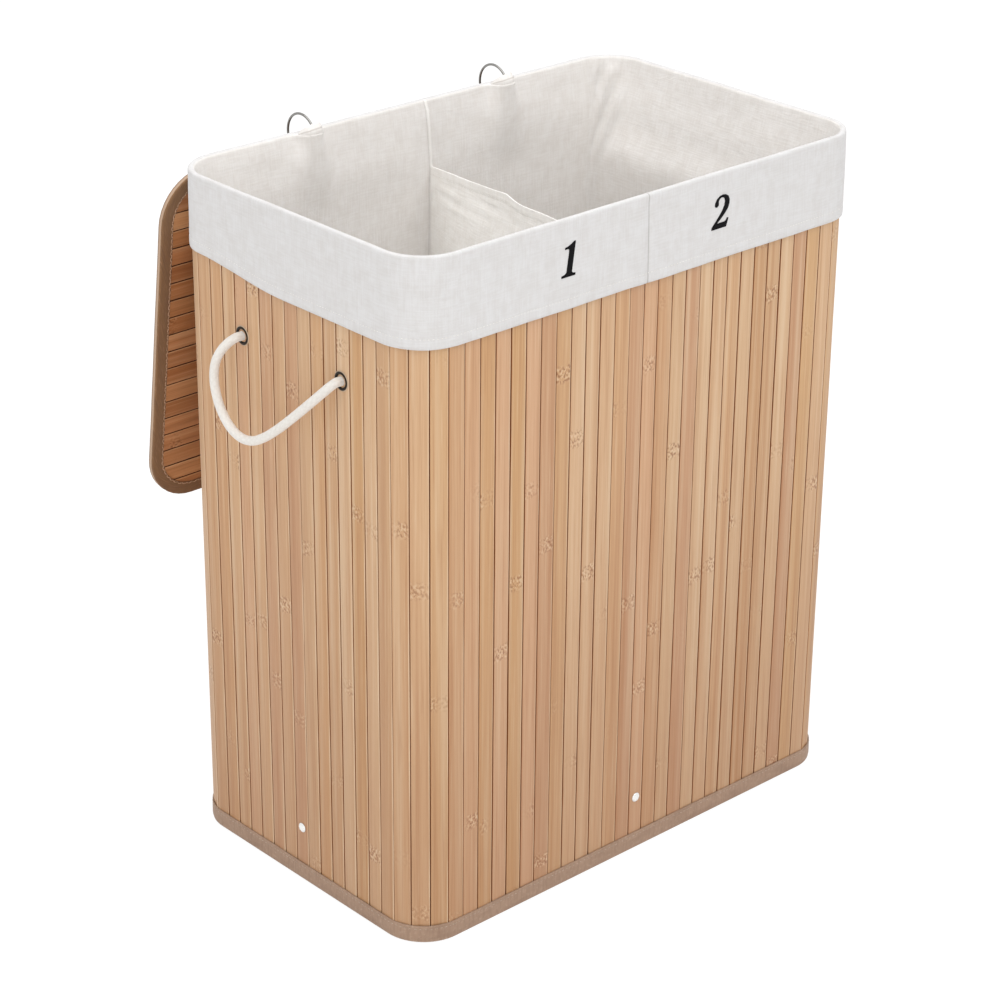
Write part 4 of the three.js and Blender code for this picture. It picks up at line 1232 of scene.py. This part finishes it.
RIVET_PROFILE = [
    (0, 2.05), (1.2, 2.0), (2.4, 1.75), (3.5, 1.3), (4.2, 0.8), (4.5, 0.42), (4.4, 0.3), (2.0, 0.3),
    (2.0, -5.3), (4.0, -5.3), (4.0, -6.2), (3.2, -6.5), (0, -6.7),
]
for side, out, at in (
    ("front", (0, -1, 0), (0, -HALF_DEPTH)), ("back", (0, 1, 0), (0, HALF_DEPTH)),
    ("left", (-1, 0, 0), (-HALF_WIDTH, 0)), ("right", (1, 0, 0), (HALF_WIDTH, 0)),
):
    shape = aimed(turned(RIVET_PROFILE, 32), Vector(out), place(*at, RIVET_HEIGHT))
    piece(f"rivet_{side}_domed", shape, rivet_finish, "root", [f"rivet_{side}"])

for name in ("brace_long_bar", "brace_short_bar", "brace_pivot_rivet", "base_board"):
    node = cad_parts[name]
    node.data.materials.clear()
    node.data.materials.append(board_finish if name == "base_board" else steel_finish)
    soften = node.modifiers.new("edges", "BEVEL")
    soften.width = 0.0004
    soften.segments = 2

# Lid

LID_LEAN = -262.5  # degrees by which the hanging lid is turned from lying flat
HANG = sum(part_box("lid_eyelet_left"), Vector()) / 2
LID = Matrix.Translation((0, HANG.y, HANG.z)) @ Matrix.Rotation(math.radians(LID_LEAN), 4, "X")
LID_HALF, LID_DEPTH, LID_INSET, LID_CORNER = 260.0, 322.0, 12.5, 46.0
LID_MIDDLE = LID_INSET - LID_DEPTH / 2
LID_SLATS = 19
LID_TAPE = [  # (distance in from the lid's edge, height)
    (12, 2.35), (10.8, 2.5), (6, 2.6), (2.2, 2.6), (0.9, 2.5), (0.5, 2.2), (0.45, 1.0), (0.45, -1.0),
    (0.5, -2.2), (0.9, -2.45), (2.2, -2.5), (6, -2.55), (10.8, -2.5), (12, -2.3),
]
TAPE_FOLD = 0.46  # rows of the tape that lie less far in than this are its fold
STITCH_INSET, STITCH_PITCH, STITCH_HEIGHT = 11.0, 2.9, 2.95
LID_EYELET_PROFILE = [
    (6.0, -2.6), (6.0, 2.6), (6.3, 3.2), (7.2, 3.9), (8.4, 3.85), (9.2, 3.5), (9.5, 3.1), (6.6, 3.05),
    (6.55, -3.05), (9.5, -3.1), (9.2, -3.5), (8.4, -3.85), (7.2, -3.9), (6.3, -3.2),
]
LID_EYELET_RIM = [0, 0, 0, 0, 0, 0.5, 1, 0, 0, 0, 0, 0, 0, 0]


def lid_outline(inset):
    """A rounded rectangle inset from the lid's edge, with its ways out, anticlockwise."""
    points = []
    for corner in range(4):
        sx = 1 if corner in (0, 3) else -1
        sy = 1 if corner < 2 else -1
        centre = Vector((sx * (LID_HALF - LID_CORNER), LID_MIDDLE + sy * (LID_DEPTH / 2 - LID_CORNER)))
        for i in range(11):
            angle = math.pi / 2 * (corner + i / 10)
            n = Vector((math.cos(angle), math.sin(angle)))
            points.append((centre + n * (LID_CORNER - inset), n))
    # Points along the straight stretches
    filled = []
    for (p, n), (q, m) in zip(points, points[1:] + points[:1]):
        filled.append((p, n))
        gap = (q - p).length
        if gap > 20:
            count = round(gap / 12)
            filled += [(p.lerp(q, i / count), n) for i in range(1, count)]
    return filled


def lid_place(x, y, z):
    """A point of the hanging lid, from its place in millimetres on the lid lying flat."""
    return LID @ (Vector((x, y, z)) / 1000)


def corner_cut(edge):
    """How much shorter a line across the lid is at its round corner, at a distance from the edge."""
    near = max(0, LID_CORNER - edge)
    return LID_CORNER - math.sqrt(LID_CORNER**2 - near**2)


def make_lid_slats():
    """Slats along X, trimmed to the lid's round corners."""
    whole = bmesh.new()
    pitch = (LID_DEPTH - 4) / LID_SLATS
    width = pitch - 1.1
    world = Matrix.Diagonal((1000, 1000, 1000, 1)) @ LID @ Matrix.Diagonal((0.001, 0.001, 0.001, 1))
    for i in range(LID_SLATS):
        y = LID_INSET - 2 - pitch * (i + 0.5)
        edge = LID_DEPTH / 2 - abs(y - LID_MIDDLE) - width / 2
        half = LID_HALF - 2.5 - corner_cut(edge + width)
        slat = slat_shape(2 * half, width, 1.7, 12, 0.3, 200 + i, 300 + i, 0.5)
        slant = corner_cut(edge) - corner_cut(edge + width)
        if slant > 0.5:
            outer = 1 if y > LID_MIDDLE else -1
            for end, away in ((0, -1), (2 * half, 1)):
                bmesh.ops.bisect_plane(
                    slat, geom=[*slat.verts, *slat.edges, *slat.faces], plane_co=(-outer * width / 2, end, 0),
                    plane_no=(outer * slant, away * width, 0), clear_outer=True,
                )
            bmesh.ops.holes_fill(slat, edges=[e for e in slat.edges if e.is_boundary], sides=0)
        axes = Matrix(((0, -1, 0, half), (1, 0, 0, y), (0, 0, 1, 1.85), (0, 0, 0, 1)))
        add_shape(whole, slat, world @ axes)
    piece("lid_slats", whole, lid_finish, "lid", ["lid_slat_mat"], 1.2)


def make_lid_panel():
    """The board that the lid's slats are glued to."""
    shape = bmesh.new()
    verts = [shape.verts.new(Vector((p.x, p.y, -0.2))) for p, _ in lid_outline(1.2)]
    bmesh.ops.contextual_create(shape, geom=verts)
    made = bmesh.ops.extrude_face_region(shape, geom=list(shape.faces))["geom"]
    bmesh.ops.translate(
        shape, vec=(0, 0, -1.6), verts=[g for g in made if isinstance(g, bmesh.types.BMVert)]
    )
    for vert in shape.verts:
        vert.co = lid_place(*vert.co)
    piece("lid_panel", shape, lid_board_finish, "lid", ["lid_board"], 0.5)


def make_lid_tape():
    """Tape folded round the lid's edge."""
    rows, flat, up = [], [], 0.0
    for k, (inset, z) in enumerate(LID_TAPE):
        if k:
            up += math.dist(LID_TAPE[k - 1], (inset, z)) / 1000
        row, maps, run = [], [], 0.0
        line = lid_outline(inset)
        for j, (p, n) in enumerate(line):
            if j:
                run += (p - line[j - 1][0]).length / 1000
            wave = 0.25 * rough(p.x, p.y, inset, 30, 21)
            row.append(lid_place(p.x - n.x * wave, p.y - n.y * wave, z))
            maps.append((run, up))
        rows.append(row)
        flat.append(maps)
    # The fold rows carry the tape's painted highlight
    marks = {"fold": [[1.0 if inset < TAPE_FOLD else 0.0] * len(rows[0]) for inset, _ in LID_TAPE]}
    line = lid_outline(0)
    sheet(
        "lid_tape", grid(rows, flat, closed=True, marks=marks), lid_tape_finish, 0.8,
        "lid", ["lid_binding"],
    )


def stitch_lid_tape(leg, z):
    """A zigzag of stitches along the tape's inner edge, on the lid's upper or lower side."""
    spots, due, run, turn = [], 0.0, 0.0, 1
    line = lid_outline(STITCH_INSET)
    out = LID.to_3x3() @ Vector((0, 0, 1 if z > 0 else -1))
    for (p, n), (q, m) in zip(line, line[1:] + line[:1]):
        length = (q - p).length
        while due < run + length:
            at = p.lerp(q, (due - run) / length)
            along = Vector((q.x - p.x, q.y - p.y, 0)).normalized()
            along = (along + turn * 0.45 * Vector((n.x, n.y, 0))).normalized()
            spots.append((lid_place(at.x, at.y, z), (LID.to_3x3() @ along).normalized(), out.normalized()))
            due += STITCH_PITCH
            turn = -turn
        run += length
    stitches(f"lid_tape_stitches_{leg}", spots, lid_thread, "lid", size=(2.0, 0.62, 0.4))


make_lid_slats()
make_lid_panel()
make_lid_tape()
for leg, z in (("upper", STITCH_HEIGHT), ("lower", -STITCH_HEIGHT)):
    stitch_lid_tape(leg, z)
for side, x in zip(("left", "right"), RING_XS):
    shape = turned(LID_EYELET_PROFILE, 36, LID_EYELET_RIM)
    bmesh.ops.transform(shape, matrix=LID @ Matrix.Translation((x / 1000, 0, 0)), verts=shape.verts)
    piece(f"lid_eyelet_{side}_turned", shape, eyelet_finish, "lid", [f"lid_eyelet_{side}"])

# Studio


def seen_directly(tree):
    """1 for what the camera sees, also in a mirror or through glass, and 0 for what lights the object."""
    share = 0.0
    for kind in ("Is Camera Ray", "Is Glossy Ray", "Is Transmission Ray"):
        ray = add(tree, "LightPath", output=kind)
        share = add(tree, "Math", {0: share, 1: ray}, operation="MAXIMUM")
    return share


def pale_ground(name, seen, strength, lit_share):
    """A plain pale ground: mostly its own white to the camera, with some of the soft shadow."""
    made = bpy.data.materials.new(name)
    made.use_nodes = True
    tree = made.node_tree
    tree.nodes.clear()
    share = add(tree, "Math", {0: seen_directly(tree), 1: 1 - lit_share}, operation="MULTIPLY")
    diffuse = add(tree, "BsdfDiffuse", {"Color": linear(seen)})
    glow = add(tree, "Emission", {"Color": linear(seen), "Strength": strength})
    add(tree, "OutputMaterial", {"Surface": add(tree, "MixShader", {0: share, 1: diffuse, 2: glow})})
    return made


ground = bmesh.new()
bmesh.ops.create_grid(ground, x_segments=1, y_segments=1, size=30)
floor = piece("floor", ground, pale_ground("studio_floor", "#ffffff", 1.1, 0.22), body=None)
floor.location.z = -0.0002

world = bpy.data.worlds.new("studio")
scene.world = world
world.use_nodes = True
sky = world.node_tree
sky.nodes.clear()
seen = add(sky, "Background", {"Color": (1, 1, 1, 1), "Strength": 1.0})
lit = add(sky, "Background", {"Color": linear("#fbfbfb"), "Strength": 0.72})
add(sky, "OutputWorld", {"Surface": add(sky, "MixShader", {0: seen_directly(sky), 1: lit, 2: seen})})


def lamp(name, at, towards, size, power, code):
    """A round soft lamp aimed at a point."""
    data = bpy.data.lights.new(name, "AREA")
    data.shape = "DISK"
    data.size = size
    data.energy = power
    data.color = linear(code)[:3]
    made = bpy.data.objects.new(name, data)
    scene.collection.objects.link(made)
    made.location = at
    made.rotation_mode = "QUATERNION"
    made.rotation_quaternion = (Vector(at) - Vector(towards)).to_track_quat("Z", "Y")


middle = Vector((0, 0, 0.35))
lamp("key", (-2.7, -2.1, 1.4), middle, 2.0, 11, "#fffdfa")
lamp("overhead", (-0.2, -0.5, 3.0), middle, 4.2, 74, "#ffffff")
